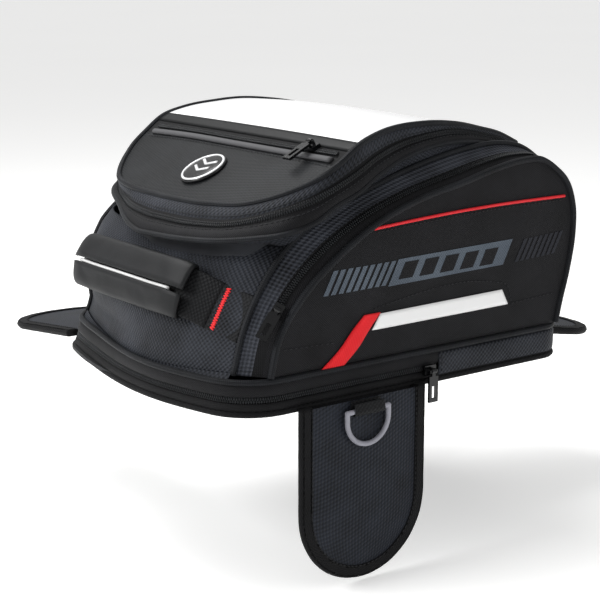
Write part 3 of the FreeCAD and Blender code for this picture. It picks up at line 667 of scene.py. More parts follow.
def bead(at, along, out, long, wide, tall):
    """One small rounded dash: a stitch, or one turn of a coil."""
    across = np.cross(along, out)
    ring = ((0.0, 1.0), (0.8, 0.55), (1.0, -0.3), (-1.0, -0.3), (-0.8, 0.55))
    points = [at + along * long * share + across * a * wide / 2 * swell
              + out * o * tall / 2 * swell
              for share, swell in ((-0.5, 0.4), (-0.3, 1.0), (0.3, 1.0), (0.5, 0.4))
              for a, o in ring]
    faces = [(k * 5 + j, k * 5 + (j + 1) % 5, k * 5 + 5 + (j + 1) % 5, k * 5 + 5 + j)
             for k in range(3) for j in range(5)]
    return points, faces + [(4, 3, 2, 1, 0), (15, 16, 17, 18, 19)]


def beads(name, parts, maker, body, replaces=()):
    points, faces = [], []
    for some, around in parts:
        faces += [tuple(len(points) + k for k in f) for f in around]
        points += list(some)
    points = arr(points)
    uvs = [points[k][[0, 2]] for f in faces for k in f]
    return piece(name, points, faces, uvs, maker, body, replaces)


def coil(name, path, out, side, body, replaces=(), pitch=1.9):
    """One row of a coil zip: a turn of monofilament at each pitch, beside the zip's line."""
    count = max(3, int(length_of(path) / pitch))
    line = even(path, count)
    along = tangents(line)
    normal, across = sides(line, respaced(np.broadcast_to(arr(out), path.shape), count))
    parts = [bead(p + c * side * 1.05 + a * (pitch / 2 if side > 0 else 0) + n * 0.5,
                  c, n, 2.6, pitch * 0.72, 1.7)
             for p, c, a, n in zip(line, across, along, normal)]
    return beads(name, parts, coil_nylon, body, replaces)


def stitches(name, path, out, body, long=2.6, gap=1.4, maker=black_thread,
             wide=0.7):
    """A row of lock stitches, just proud of the cloth."""
    count = max(3, int(length_of(path) / (long + gap)))
    line = even(path, count)
    along = tangents(line)
    normal, _ = sides(line, respaced(np.broadcast_to(arr(out), path.shape), count))
    return beads(name, [bead(p, a, n, long, wide, 0.7) for p, a, n in zip(line, along, normal)],
                 maker, body)


def surface_of(made):
    """The piece's own surface, modifiers included, for laying other pieces on."""
    graph = bpy.context.evaluated_depsgraph_get()
    return BVHTree.FromObject(made, graph)


def laid_on(points, tree, direction, lift):
    """Points dropped along a direction on to a surface, standing lift off it."""
    way = Vector(direction)
    out = []
    for p in arr(points):
        start = Vector(p * MM) - way * 0.06
        spot = tree.ray_cast(start, way)[0]
        if spot is None:                      # past the cloth's edge: level with it
            gap = arr(tree.find_nearest(start)[0]) / MM - p
            spot = Vector((p + arr(direction) * (gap @ arr(direction))) * MM)
        out.append(arr(spot) / MM - arr(direction) * lift)
    return arr(out)


# ---------------------------------------------------------------- padded cloth
swelling = []


def swell(made, held, pressure, most_mm):
    """Queue a piece for the cloth run: held points stay, the rest may rise most_mm."""
    group = made.vertex_groups.new(name="sewn")
    group.add([int(k) for k in held], 1.0, "REPLACE")
    swelling.append((made, pressure, most_mm))


CLOTH = {"quality": 5, "mass": 0.25, "tension_stiffness": 12, "compression_stiffness": 12,
         "shear_stiffness": 5, "bending_stiffness": 1.2, "use_pressure": True,
         "vertex_group_mass": "sewn"}


def run_cloth(frames=14):
    """Every queued piece blown up by cloth pressure in one run, then fixed as a mesh."""
    for made, pressure, _ in swelling:
        sim = made.modifiers.new("padding", "CLOTH")
        made.modifiers.move(len(made.modifiers) - 1, 0)
        for key, value in CLOTH.items():
            setattr(sim.settings, key, value)
        sim.settings.effector_weights.gravity = 0
        sim.settings.uniform_pressure_force = pressure
        sim.point_cache.frame_end = frames
    for k in range(1, frames + 1):
        bpy.context.scene.frame_set(k)
    others = [m for made, _, _ in swelling for m in made.modifiers if m.type != "CLOTH"]
    for modifier in others:
        modifier.show_viewport = False
    bpy.context.view_layer.update()
    graph = bpy.context.evaluated_depsgraph_get()
    blown = [arr([v.co for v in made.evaluated_get(graph).data.vertices])
             for made, _, _ in swelling]
    for (made, _, most_mm), points in zip(swelling, blown):
        rest = arr([v.co for v in made.data.vertices])
        moved = points - rest
        far = np.linalg.norm(moved, axis=1, keepdims=True)
        cap = most_mm * MM
        moved = moved / np.maximum(far, 1e-9) * cap * np.tanh(far / cap)
        made.data.vertices.foreach_set("co", (rest + moved).ravel().astype(np.float32))
        made.modifiers.remove(made.modifiers["padding"])
        made.data.update()
    for modifier in others:
        modifier.show_viewport = True
    bpy.context.scene.frame_set(1)


def border(n, m):
    """Indices of the outer points of an n by m grid."""
    return [i * m + j for i in range(n) for j in range(m) if i in (0, n - 1) or j in (0, m - 1)]


# ---------------------------------------------------------------- base
BASE_ZIP_ENDS = ((33, -141.8), (150, 141.8))       # in plan: near garage seam, far end


def band(name, levels, maker, body, replaces=()):
    """A strip round the base from (outward, z) stations, lowest first."""
    rows = [at_level(base_outline(grow), z) for grow, z in levels]
    count = min(len(r) for r in rows)
    rows = [even(np.vstack([r, r[:1]]), count + 1)[:-1] for r in rows]
    return grid(name, rows, maker, body, replaces, around=True)


def base_pieces():
    rim = at_level(base_outline(-5), 2)
    shrink = [(1, 1.6), (0.995, 0.4)] + [(s, 0) for s in (0.98, 0.8, 0.6, 0.4, 0.2, 0.01)]
    rows = [at_level(rim[:, :2] * share, z) for share, z in shrink]
    grid("anti_slip_pad", rows[::-1], pad_rubber, "base", ["base_pad"],
         around=True, plane=(0, 1))
    loop = base_outline(0.2)
    hint = at_level(outline_normals(loop), 0)
    hem = [(1.9 * math.cos(a), 2.3 * math.sin(a)) for a in np.linspace(0, 2 * math.pi, 13)[:-1]]
    swept("base_hem_binding", at_level(loop, 2.3), hint, hem, grosgrain, "base",
          ["base_binding"], looped=True)
    band("base_lower_band", [(-1.5, 3.6), (0.4, 4.6), (0.9, 6.2), (0.9, 8.4), (0.2, 10.2),
                             (-1.6, 10.8)], zip_tape, "base", ["base_band"])
    band("base_zip_tape_lower", [(-1.4, 10.4), (-1.2, 13.1)], zip_tape, "base")
    band("base_zip_tape_upper", [(-1.2, 13.2), (-1.4, 15.8)], zip_tape, "bag_body")
    band("waist_band", [(-1.6, 15.2), (0.3, 15.7), (1.0, 17.6), (1.2, 20), (0.9, 22.6),
                        (0.1, 24.6)], panel_nylon, "bag_body",
         ["upper_band"])
    swept("waist_cord", at_level(loop, 26.8), hint, cord_section(2.35), piping_cloth,
          "bag_body", ["waist_piping"], looped=True)
    zip_line = base_outline(-1.2, 2.0)
    turn, back = (int(np.argmin(np.linalg.norm(zip_line - arr(end), axis=1)))
                  for end in BASE_ZIP_ENDS)
    open_line = np.vstack([zip_line[back:], zip_line[:turn]])
    out = at_level(outline_normals(open_line), 0)
    line = at_level(open_line, 13.15)
    coil("base_coil_lower", line, out, -1, "base", ["base_zip_lower_chain"])
    coil("base_coil_upper", line, out, 1, "bag_body", ["base_zip_upper_chain"])
    plain_band(turn, back, zip_line)
    sleeve = [at_level(base_outline(-6 - fold, 4.0), z) for z, fold in
              ((5.5, 0), (8.5, 2), (11, 0), (14, 2.4), (17, 0), (20, 2), (22.5, 0))]
    count = min(len(r) for r in sleeve)
    rows = [even(np.vstack([r, r[:1]]), count + 1)[:-1] for r in sleeve]
    bellows = grid("expansion_bellows", rows, lining_cloth, None,
                   ["expansion_sleeve"], around=True)
    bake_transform(bellows)


def plain_band(turn, back, zip_line):
    """The stretch of band with no zip, from its garage seam round the tall end."""
    path = zip_line[turn:back]
    out = outline_normals(path)
    rows = []
    for z, proud in ((5, 1.2), (6.5, 2.6), (10, 3.1), (14, 3.3), (18, 3.2), (22, 2.8),
                     (24.4, 1.4)):
        slack = np.sin(path[:, 0] / 17 + z / 9) * 0.5 * math.sin(math.pi * (z - 5) / 20)
        rows.append(at_level(path + out * (proud + slack)[:, None], z))
    made = grid("plain_end_band", rows, ballistic_nylon, None, thick=0.8)
    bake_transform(made)
    edge = arr([row[1] for row in rows])
    made = stitches("garage_seam", edge + [1.2, -0.3, 0], (0, -1, 0), None)
    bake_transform(made)


def outline_normals(plan):
    """Outward directions of a plan line that runs from the nose along the near side."""
    step = np.gradient(plan, axis=0)
    if np.linalg.norm(plan[0] - plan[-1]) < 12:
        step = np.roll(plan, -1, 0) - np.roll(plan, 1, 0)
    return unit(np.column_stack([step[:, 1], -step[:, 0]]))


# ---------------------------------------------------------------- body
def out_of(first, last):
    """Outward direction of a band between two lines."""
    along = tangents((first + last) / 2)
    out = np.cross(along, unit(last - first))
    outward = ((first + last) / 2) - [20, 0, 60]
    return out * np.sign((out * outward).sum(1))[:, None]


tuck, collar_line, zip_line, rim_line = (
    corner_drawn(round_nose(through(line, 10)), shift) for line, shift in
    ((TUCK, (4, -2, 4)), (COLLAR, (22, -7, 8)), (ZIP, (14, -6, 2)), (RIM, (0, 0, 0))))


def front_panel():
    """The nose wall, puffed between its seams and the handle's ends, and the strip at its foot
    that meets the waist cord."""
    wide, tall = 81, 46
    y = np.linspace(SEAM_Y, -SEAM_Y, wide)
    foot = np.column_stack([nose_arc(NOSE_X, y), y, WAIST + 4 * (y / SEAM_Y) ** 2])
    top = round_nose(through(TUCK[:5], 14))
    seam = side_line(FRONT_SEAM[:4], SEAM_Y)
    rows = patch(foot, top, seam, mirrored(seam), tall)
    made = grid("front_panel", rows, ballistic_nylon, "bag_body",
                ["body_shell"], thick=1.6)
    edge = base_outline(-1.5)
    edge = edge[edge[:, 0] < -60]
    edge = edge[np.argsort(edge[:, 1])]
    hem = np.column_stack([np.interp(y, edge[:, 1], edge[:, 0]), y, np.full(wide, 26.5)])
    grid("front_panel_foot", ruled(hem, foot + [-1.2, 0, 1.5], 5), ballistic_nylon, "bag_body")
    under_handle = [i * wide + j for i in range(tall) for j in range(wide)
                    if abs(abs(rows[i][j][1]) - 106) < 9 and 56 < rows[i][j][2] < 90]
    swell(made, border(tall, wide) + under_handle, 5.0, 3.6)


def collar_and_zip():
    grid("collar_ledge", ruled(tuck, collar_line, 4), ballistic_nylon, "bag_body")
    hem = collar_line * 0.25 + zip_line * 0.75
    out = out_of(collar_line, zip_line)
    rows = ruled(collar_line, hem, 7, 2.4, out)
    grid("collar", rows, panel_nylon, "bag_body", ["body_collar"])
    swept("collar_cord", collar_line + out * 0.4, out, cord_section(2.1), piping_cloth,
          "bag_body")
    stitches("collar_stitches", rows[5] + out * 0.3, out, "bag_body")
    grid("main_zip_tape_lower", ruled(hem, zip_line, 3), zip_tape, "bag_body")
    cuff = zip_line * 0.72 + rim_line * 0.28
    up = out_of(zip_line, rim_line)
    grid("main_zip_tape_upper", ruled(zip_line, cuff, 3), zip_tape, "lid")
    grid("lid_side_strip_cloth", ruled(cuff, rim_line, 7, 1.8, up), ballistic_nylon, "lid",
         ["lid_side_strip"])
    stitches("lid_strip_stitches", cuff * 0.85 + rim_line * 0.15 + up * 1.4, up, "lid")
    swept("lid_rim_cord", rim_line + up * 0.4, up, cord_section(2.4), piping_cloth, "lid",
          ["lid_piping"])
    coil("main_coil_lower", zip_line, out, 1, "bag_body", ["main_zip_lower_chain"])
    coil("main_coil_upper", zip_line, out, -1, "lid", ["main_zip_upper_chain"])


def tall_wall():
    outline = through(FRONT_SEAM[10:], 8)
    y = np.linspace(SEAM_Y + 0.6, -SEAM_Y - 0.6, 49)
    rows = [np.column_stack([x + 1.5 * np.cos(y / SEAM_Y * math.pi / 2), y,
                             np.full(len(y), z)]) for x, z in outline]
    made = grid("tall_end_wall", rows, ballistic_nylon, "bag_body", thick=1.6)
    swell(made, border(len(rows), 49), 4.0, 3.0)
    tail = np.linspace(1, -1, 49)[:, None]
    hinge = [150.5, 0, 166.5] + tail * [0, 112, 0]
    top = [157.5, 0, 165] + tail * [0, 122.3, 0]
    grid("hinge_strip", ruled(hinge, top, 4), panel_nylon, "bag_body")
    rim = np.column_stack([np.full(49, 150.0), tail[:, 0] * 104,
                           lid_height(150.0, tail[:, 0] * 104)])
    grid("lid_tail_strip", ruled(rim, hinge + [0, 0, 1.6], 4), panel_nylon, "lid")


def side_pieces(side):
    name = "far" if side > 0 else "near"
    door = f"pocket_door_{name}"
    seam = on_side(side_line(FRONT_SEAM, SEAM_Y), side)
    edge = on_side(side_line(PANEL_EDGE, PANEL_Y - 1.6), side)
    outward = (0, side, 0)
    order = slice(None, None, -side)
    shares = ((0, 0.08, 0.16, 0.24, 0.32, 0.42, 0.52), (0.52, 0.58, 0.66, 0.74, 0.8),
              (0.8, 0.88, 0.94, 1.0))
    makers = (sandwich_mesh, zip_tape, panel_nylon)
    labels = ("mesh", "zip_tape", "edge")
    for label, maker, part in zip(labels, makers, shares):
        rows = [(seam * (1 - t) + edge * t)[order] for t in part]
        grid(f"gusset_{label}_{name}", rows[::-1], maker, "bag_body",
             [f"side_gusset_{name}"] if label == "mesh" else ())
    out = unit(np.cross(tangents(seam), edge - seam)) * side
    out *= np.sign((out * outward).sum(1))[:, None]
    track = (seam * 0.34 + edge * 0.66)[14:-34]
    for label, row in (("inner", -1), ("outer", 1)):
        coil(f"side_coil_{label}_{name}", track, out[14:-34], row, "bag_body",
             ["side_zip_chains"])
    stitches(f"gusset_stitches_{name}", (seam * 0.46 + edge * 0.54)[14:-34] + out[14:-34] * 0.4,
             out[14:-34], "bag_body")
    swept(f"front_seam_cord_{name}", seam + [0, side * 1.6, 0], outward, cord_section(2.2),
          piping_cloth, "bag_body", ["front_pipings"])
    swept(f"panel_cord_{name}", on_side(side_line(PANEL_EDGE, PANEL_Y), side), outward,
          cord_section(2.7), piping_cloth, door, [f"panel_piping_{name}"])
    rows = side_rows(PANEL_EDGE, 3, 10, PANEL_Y, 83, 42)
    rows = [on_side(row, side)[order] for row in rows]
    made = grid(f"pocket_panel_{name}", rows, panel_nylon, door,
                [f"side_panel_{name}"], thick=2.0, plane=(0, 2))
    flat = np.concatenate(rows)
    held = [k for k, (x, _, z) in enumerate(flat) if sewn_down(x, z)]
    swell(made, border(42, 83) + held, 6.0, 3.2)
    inner = side_rows(FRONT_SEAM, 4, 10, SEAM_Y - 1.5, 40, 20)
    grid(f"pocket_back_{name}", [on_side(row, side)[order] for row in inner], lining_cloth,
         "bag_body", plane=(0, 2))
    return made


def side_rows(outline, left_end, top_end, y, wide, tall):
    """Rows of a flat side panel inside its seam: a left run, a top run and a right run."""
    lift = [(x, y, z) for x, z in outline]
    left = through(lift[:left_end + 1], 8)
    top = through(lift[left_end:top_end + 1], 8)
    right = through(lift[top_end:], 8)[::-1]
    foot = arr([lift[0], lift[-1]])
    return patch(even(foot, wide), even(top, wide), left, right, tall)


def sewn_down(x, z):
    """True on the seams that hold a pocket panel down."""
    if x > -36 and abs(z - red_seam(x)) < 1.9:
        return True
    frame_line = [(-115, 49), (-65, 48), (-38, 48), (-30, 69), (104, 71), (113, 52), (158, 55)]
    for (x0, z0), (x1, z1) in zip(frame_line, frame_line[1:]):
        run = arr([x1 - x0, z1 - z0])
        t = np.clip(((x - x0) * run[0] + (z - z0) * run[1]) / (run @ run), 0, 1)
        if math.hypot(x - x0 - run[0] * t, z - z0 - run[1] * t) < 1.9:
            return True
    return False


def red_seam(x):
    return 130 + (x + 31) * 0.03 + 2.2 * np.sin((np.asarray(x) + 31) / 199 * math.pi)


def pocket_trim(panel, side):
    """Prints, piping, reflective strip and ribbon laid on the finished pocket panel."""
    name = "far" if side > 0 else "near"
    door = f"pocket_door_{name}"
    tree = surface_of(panel)

    def lay(points, lift):
        flat = [(x, side * 160, z) for x, z in points]
        return laid_on(flat, tree, (0, -side, 0), lift)

    def quad(corners, lift, wide=8, tall=5):
        a, b, c, d = (arr(p) for p in corners)
        rows = []
        for t in np.linspace(0, 1, tall):
            left, right = a * (1 - t) + d * t, b * (1 - t) + c * t
            row = lay([left * (1 - u) + right * u for u in np.linspace(0, 1, wide)], lift)
            rows.append(row[::-side])
        return rows

    def bars(label, maker, start, count, pitch, wide, foot, head, rise):
        lean = 10
        for k in range(count):
            x = start + k * pitch
            low, high = foot + rise * k, head + rise * k
            corners = ((x, low), (x + wide, low), (x + wide + lean, high), (x + lean, high))
            grid(f"{label}_{k + 1}_{name}", quad(corners, 0.35, 3, 6), maker, door,
                 plane=(0, 2))

    bars("print_bar", screen_ink, -81, 9, 6.9, 4.4, 84.5, 102.5, 0.1)
    bars("thin_print_bar", dark_ink, 114, 8, 5.9, 3.6, 87, 105, 0.3)
    grid(f"print_block_{name}", quad(((-19, 84), (101, 86.5), (111, 106.5), (-9, 104)), 0.35,
                                     40, 8), screen_ink, door, plane=(0, 2))
    for k in range(5):
        x = -9 + k * 21
        corners = ((x, 88.3), (x + 14, 88.6), (x + 20.5, 101.4), (x + 6.5, 101.1))
        grid(f"print_window_{k + 1}_{name}", quad(corners, 0.6, 5, 5), panel_nylon, door,
             plane=(0, 2))
    strip = quad(((-34, 52), (108, 53), (101, 66), (-26, 64)), 0.9, 48, 5)
    grid(f"reflective_tape_{name}", strip, silver_tape, door,
         [f"reflective_strip_{name}"], thick=0.5, plane=(0, 2))
    left = through([(-82, 29), (-64, 43), (-51, 57), (-42, 65)], 6)
    right = through([(-61, 29), (-46, 42), (-36, 54), (-26, 65)], 6)
    rows = [lay(left * (1 - t) + right * t, 1.2)[::side] for t in np.linspace(0, 1, 5)]
    grid(f"red_tab_{name}", rows, red_ribbon, door, thick=0.8)
    x = np.linspace(-33, 169, 90)
    cord_path = lay(np.column_stack([x, red_seam(x)]), 0.7)
    swept(f"red_cord_{name}", cord_path, (0, side, 0), cord_section(1.25, 8), red_vinyl, door)
    seam = lay(np.column_stack([x[2:-2], red_seam(x[2:-2]) - 3.4]), 0.3)
    stitches(f"red_cord_stitches_{name}", seam, (0, side, 0), door)
    around = through([(-39, 49), (-31, 68), (-20, 70), (98, 72), (105, 70), (113, 52)], 8)
    stitches(f"tape_frame_stitches_{name}", lay(around, 0.3), (0, side, 0), door)
    for label, ends in (("left", ((-115, 49), (-72, 47.5))), ("right", ((114, 53), (158, 55)))):
        stitches(f"panel_stitches_{label}_{name}", lay(even(arr(ends), 20), 0.3),
                 (0, side, 0), door)


# ---------------------------------------------------------------- lid
def lid_rows(first, last, step, lift=0.0, inset=1.0, wide=61):
    rows = []
    for x in np.linspace(first, last, max(3, int((last - first) / step) + 1)):
        y = np.linspace(1, -1, wide) * (rim_at(x)[0] - inset)
        rows.append(np.column_stack([np.full(wide, x), y, lid_height(x, y) + lift]))
    return rows


def lid_nose_rows(lift=0.0, last=-62.0, wide=71, tall=26):
    """The pocket panel: held by the rim round the nose and a straight seam behind."""
    corner, end = (int(np.argmin(abs(rim_fine[:, 0] - x))) for x in (-100, last))
    nose = even(round_nose(rim_fine[:corner + 1]), wide)
    far = rim_fine[corner:end + 1]
    seam = even(arr([far[-1], mirrored(far[-1:])[0]]), wide)
    rows = patch(nose, seam, far, mirrored(far), tall)
    for row in rows:
        row[:, 2] = lid_height(row[:, 0], row[:, 1]) + lift
    return rows


def lid_pieces():
    made = grid("lid_pocket_cover", lid_nose_rows(), corded_nylon, "lid",
                ["lid_pocket_panel"], thick=1.2, plane=(0, 1))
    swell(made, border(26, 71), 4.0, 3.0)
    roof = lid_rows(-62, -41, 3)
    grid("lid_zip_tape", roof, zip_tape, "lid", plane=(0, 1))
    grid("grey_window_trim", lid_rows(-50, -40, 2.5, 0.9), grey_trim, "lid",
         thick=0.8, plane=(0, 1))
    window = lid_rows(-41, 128, 4, 0.5)
    made = grid("clear_window", window, window_vinyl, "lid", ["map_window"],
                thick=0.8, plane=(0, 1))
    swell(made, border(len(window), 61), 3.0, 2.4)
    grid("lid_tail_cloth", lid_rows(127, 150, 4, 0.8), panel_nylon, "lid",
         ["lid_panel"], plane=(0, 1))
    under = lid_nose_rows(-5.0) + lid_rows(-58, 149, 6, -5.0, 5.0, 71)
    grid("lid_lining", [row[::-1] for row in under], lining_cloth, "lid",
         plane=(0, 1))
    x = through([(-54, -126), (-55.5, -60), (-56, 0), (-55.5, 60), (-56, 122)], 16)
    path = np.column_stack([x, lid_height(x[:, 0], x[:, 1]) + 0.8])
    up = (-0.45, 0, 0.9)
    coil("lid_pocket_coil_front", path, up, 1, "lid", ["lid_pocket_zip"])
    coil("lid_pocket_coil_back", path, up, -1, "lid")
    welt = np.column_stack([x - [6, 0], lid_height(x[:, 0] - 6, x[:, 1]) + 1.4])
    swept("pocket_welt", welt, up, [(2.0 * math.cos(a), 2.9 * math.sin(a)) for a in
                                    np.linspace(0, 2 * math.pi, 13)[:-1]],
          piping_vinyl, "lid")
    seam = np.column_stack([x - [11, 0], lid_height(x[:, 0] - 11, x[:, 1]) + 1.2])
    stitches("pocket_welt_stitches", seam, up, "lid")


def badge():
    """A plain round badge: black dome, silver ring and two silver chevrons."""
    centre = (-95.0, -7.0)
    tilt = math.radians(-27)
    ex, ey = arr([math.cos(tilt), 0, -math.sin(tilt)]), arr([0, 1, 0])
    ez = np.cross(ex, ey)
    middle = arr([*centre, lid_height(*centre) + 2.0])

    def disc(radii):
        turn = np.linspace(0, 2 * math.pi, 49)[:-1]
        return [middle + r * (np.cos(turn)[:, None] * ex + np.sin(turn)[:, None] * ey) + ez * h
                for r, h in radii]
    grid("badge_body", disc([(19, -3), (19.8, -0.5), (20, 1.0), (19.4, 1.9), (17, 2.3),
                             (9, 2.7), (0.1, 2.8)]), badge_black, "lid",
         ["lid_badge"], around=True)
    grid("badge_ring", disc([(18.8, 1.9), (18.5, 2.6), (17.2, 2.8), (16.8, 2.2)]),
         badge_silver, "lid", around=True)
    for k, shift in enumerate((-5.5, 3.5)):
        path = [middle + ex * (shift + abs(s) * 0.55) + ey * s + ez * 2.75
                for s in np.linspace(-9.5, 9.5, 17)]
        swept(f"badge_chevron_{k + 1}", arr(path), ez, strap_section(2.6, 0.9), badge_silver,
              "lid")


# ---------------------------------------------------------------- handle
def lean_at(y):
    """Outward direction of the front panel at that distance from the centre line."""
    y = np.asarray(y, float)
    return unit(np.column_stack([-np.ones_like(y), y / 290, np.full_like(y, 0.44)]))


def handle_pieces():
    line = smooth(HANDLE, 3)
    line = line + give(line) * ease((line[:, 1] - 96) / 26)[:, None]
    free = line[abs(line[:, 1]) <= 97]
    swept("handle_strap", free, lean_at(free[:, 1]), strap_section(37, 2.4), webbing_nylon,
          "handle", ["handle_webbing"])
    for name, side in (("near", -1), ("far", 1)):
        end = line[side * line[:, 1] > 94]
        swept(f"handle_end_{name}", end, lean_at(end[:, 1]), strap_section(37, 2.6),
              webbing_nylon, "bag_body", ["handle_end_webbing"])
        bar_tack(name, side, line)
    grip_halves(line)


def bar_tack(name, side, line):
    """A dense red bar tack across the webbing."""
    k = int(np.argmin(abs(line[:, 1] - side * 100)))
    along = tangents(line)[k]
    out = lean_at([line[k, 1]])[0]
    out = unit(out - along * (out @ along))
    up = np.cross(out, along)
    up = up * np.sign(up[2])
    parts = []
    for n, s in enumerate(np.linspace(-16, 16, 34)):
        jitter = 0.35 * math.sin(n * 2.4)
        parts.append(bead(line[k] + up * s + out * 1.9 + along * jitter,
                          unit(along + up * 0.25 * (-1) ** n), out, 3.6, 1.25, 1.5))
    beads(f"bar_tack_{name}", parts, red_thread, "bag_body",
          ["handle_bartacks"] if side < 0 else ())


GRIP_END, GRIP_ROWS = 79, 22


def grip_halves(line):
    """Two neoprene halves folded over the webbing, the upper lapping the lower, with a
    reflective cord in the slit between them."""
    path = line[abs(line[:, 1]) <= GRIP_END]
    out, up = sides(path, lean_at(path[:, 1]))
    up = up * np.sign(up[:, 2:])
    deep, half = 6.2, 19.5
    for name, first, last, extra in (("upper", 0.01, 3.35, 0.6), ("lower", -0.1, -3.0, 0.0)):
        rows = []
        for a in np.linspace(first, last, GRIP_ROWS):
            lip = 1.2 * math.exp(-abs(a - first) / 0.22)
            radial = out * (deep + extra + lip) * math.cos(a) + up * (half + extra) \
                * math.copysign(abs(math.sin(a)) ** 0.8, math.sin(a))
            end = 1 - 0.05 * np.exp(-(GRIP_END - abs(path[:, 1])) / 3.0)
            rows.append(path + radial * end[:, None])
        if name == "lower":
            rows = rows[::-1]
        made = grid(f"grip_{name}", rows, neoprene, "handle",
                    ["handle_grip"] if name == "upper" else (), thick=2.2)
        swell(made, border(GRIP_ROWS, len(path)), 3.0, 1.6)
    slit = out * (deep + 0.3) + up * -1.7
    cord_path = (path + slit)[4:-4]
    swept("grip_reflective_cord", cord_path, out[4:-4], cord_section(1.3, 8), silver_tape,
          "handle")


# ---------------------------------------------------------------- flaps
FAR_DROOP, FRONT_DROOP = math.radians(7), math.radians(10)
FLAPS = {"near": ((-45, -145.3, 3), (0, 0, -1), (1, 0, 0)),
         "far": ((-80, 145.3, 4), (0, math.cos(FAR_DROOP), -math.sin(FAR_DROOP)), (-1, 0, 0)),
         "front": ((177.3, -8, 4), (math.cos(FRONT_DROOP), 0, -math.sin(FRONT_DROOP)),
                   (0, 1, 0))}
FLAP_HALF, FLAP_STRAIGHT = 61.0, 85.0
FACE_ROWS, FACE_POINTS = 41, 35


def flap_place(name, points):
    """From a flap's own axes, hinge to tip, across, outward, to the bag's."""
    origin, along, across = (arr(v) for v in FLAPS[name])
    axes = np.stack([along, across, np.cross(along, across)])
    return arr(origin) + arr(points) @ axes


def flap_edge(inset, step=3.0, start=0.0):
    radius = FLAP_HALF - inset
    turn = np.linspace(-math.pi / 2, math.pi / 2, 48)
    tip = np.column_stack([FLAP_STRAIGHT + radius * np.cos(turn), radius * np.sin(turn)])
    curve = np.vstack([[start, -radius], tip, [start, radius]])
    return even(curve, int(length_of(curve) / step))


def flap_face(inset, z):
    """Rows of a flap's face, with the round tip shared between its last row and its sides."""
    edge = flap_edge(inset, 1.0, 1.0)
    reach = (FLAP_HALF - inset) * 0.707
    first, last = (int(np.argmin(np.linalg.norm(edge - (FLAP_STRAIGHT + reach, s * reach),
                                                axis=1))) for s in (-1, 1))
    level = at_level(edge, z)
    return patch(even(level[[0, -1]], FACE_POINTS), level[first:last + 1], level[:first + 1],
                 level[last:][::-1], FACE_ROWS)


def flap_pieces(name):
    body = f"{name}_flap"
    outward = flap_place(name, [(0, 0, 1)])[0] - flap_place(name, [(0, 0, 0)])[0]
    rows = [flap_place(name, row) for row in flap_face(6, 4.6)]
    made = grid(f"{name}_flap_face", [row[::-1] for row in rows], twill_nylon, body,
                [f"{name}_flap_panel"])
    swell(made, border(FACE_ROWS, FACE_POINTS), 5.0, 2.6)
    grid(f"{name}_flap_back", [flap_place(name, row) for row in flap_face(6, 0.6)],
         panel_nylon, body)
    edge = flap_edge(6.0)
    wobble = 0.5 * np.sin(np.arange(len(edge)) * 0.9)
    path = flap_place(name, np.column_stack([edge, 2.7 + 0.15 * wobble]))
    swept(f"{name}_flap_tape", path, outward, strap_section(12, 6.2), grosgrain, body,
          [f"{name}_flap_binding"])
    inner = flap_edge(10.4, 3.0, 2.0)
    stitches(f"{name}_flap_stitches", flap_place(name, at_level(inner, 5.9)), outward, body)
    turn = np.linspace(-math.pi / 2, math.pi / 2, 12)
    wrap = [(1.5, 5.7)] + [(9 + 3.0 * math.cos(a), 8.6 + 3.0 * math.sin(a)) for a in turn] + \
        [(2.5, 9.8)]
    path = flap_place(name, [(x, 0, z) for x, z in even(arr(wrap), 26)])
    out = np.cross(tangents(path), arr(FLAPS[name][2]))
    swept(f"{name}_tape_loop", path, out, strap_section(29, 1.3), webbing_nylon, body,
          [f"{name}_ring_loop"])


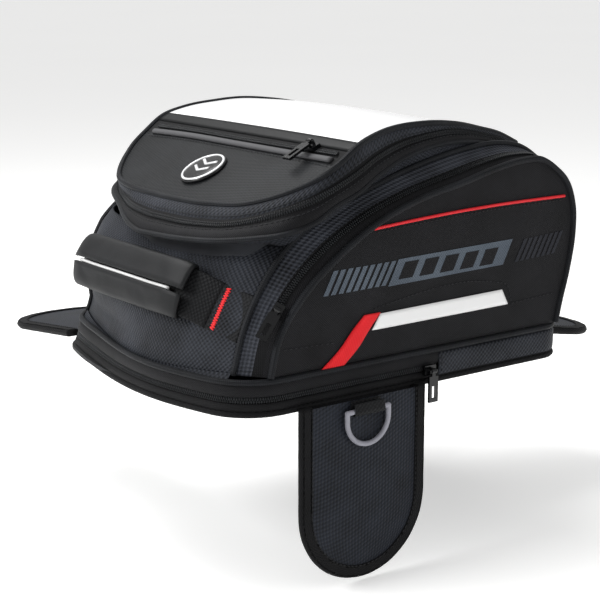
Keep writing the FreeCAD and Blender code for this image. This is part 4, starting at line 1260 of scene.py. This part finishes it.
# ---------------------------------------------------------------- inside
def lining():
    """The lining: a tub from the zip down to the floor of the bag."""
    top = zip_line[5:-5] - [0, 0, 3]
    top[:, 1] -= np.sign(top[:, 1]) * np.minimum(9, abs(top[:, 1]))
    top[:, 0] += np.where(top[:, 0] < -100, 5, 0)
    loops = [top]
    for z, tail in ((60, 170), (30, 162), (10, 160)):
        nose = NOSE_X + 0.46 * (max(z, 28) - 28) + 8
        y = np.linspace(108, -108, 60)
        arc = at_level(np.column_stack([nose_arc(nose, y), y]), z)
        loops.append(np.vstack([[tail, 114, z], arc, [tail, -114, z]]))
    closed = [even(np.vstack([loop, loop[:1]]), 161)[:-1] for loop in loops]
    rows = ruled(closed[0], closed[1], 9) + closed[2:]
    floor = closed[-1]
    rows += [floor * [s, s, 1] for s in (0.95, 0.7, 0.4, 0.05)]
    grid("inner_lining", [row[::-1] for row in rows], lining_cloth, "bag_body",
         ["foam_lining"], around=True)


def soften_edges(casting):
    edges = casting.modifiers.new("soft_edges", "BEVEL")
    edges.width = 0.35 * MM
    edges.segments = 2
    edges.limit_method = "ANGLE"


def metal_on_corner(name, node, maker):
    """A slider or puller on the soft corner goes in with the cloth that it sits on."""
    points = arr([v.co for v in node.data.vertices]) / MM
    shift = give([points.mean(0)])
    if np.linalg.norm(shift) < 0.5:
        return False
    body = [b for b, held in frame["record"]["behaviour"]["bodies"].items() if name in held][0]
    flat = [points[node.data.loops[k].vertex_index][[0, 2]] for f in node.data.polygons
            for k in f.loop_indices]
    made = piece(f"{name}_cast", points + shift, [tuple(f.vertices) for f in node.data.polygons],
                 flat, maker, body, [name])
    soften_edges(made)
    return True


METALS = {"slider": gunmetal, "puller": gunmetal, "d_ring": ring_enamel, "magnets": gunmetal,
          "base_board": fibre_board}


def metal_parts():
    """The cast and bent metal parts keep their frame shapes; the sliders and pullers get softened
    edges.
    """
    for name, node in frame["nodes"].items():
        chosen = [maker for end, maker in METALS.items() if name.endswith(end)]
        if node.hide_render or not chosen:
            continue
        if name.endswith(("slider", "puller")) and metal_on_corner(name, node, chosen[0]):
            continue
        node.data.materials.clear()
        node.data.materials.append(chosen[0]())
        if name.endswith(("slider", "puller")):
            soften_edges(node)


base_pieces()
front_panel()
collar_and_zip()
tall_wall()
panels = [(side_pieces(side), side) for side in (-1, 1)]
lid_pieces()
badge()
handle_pieces()
for flap in FLAPS:
    flap_pieces(flap)
lining()
metal_parts()
run_cloth()
for panel, side in panels:
    pocket_trim(panel, side)
make_camera()
make_studio()
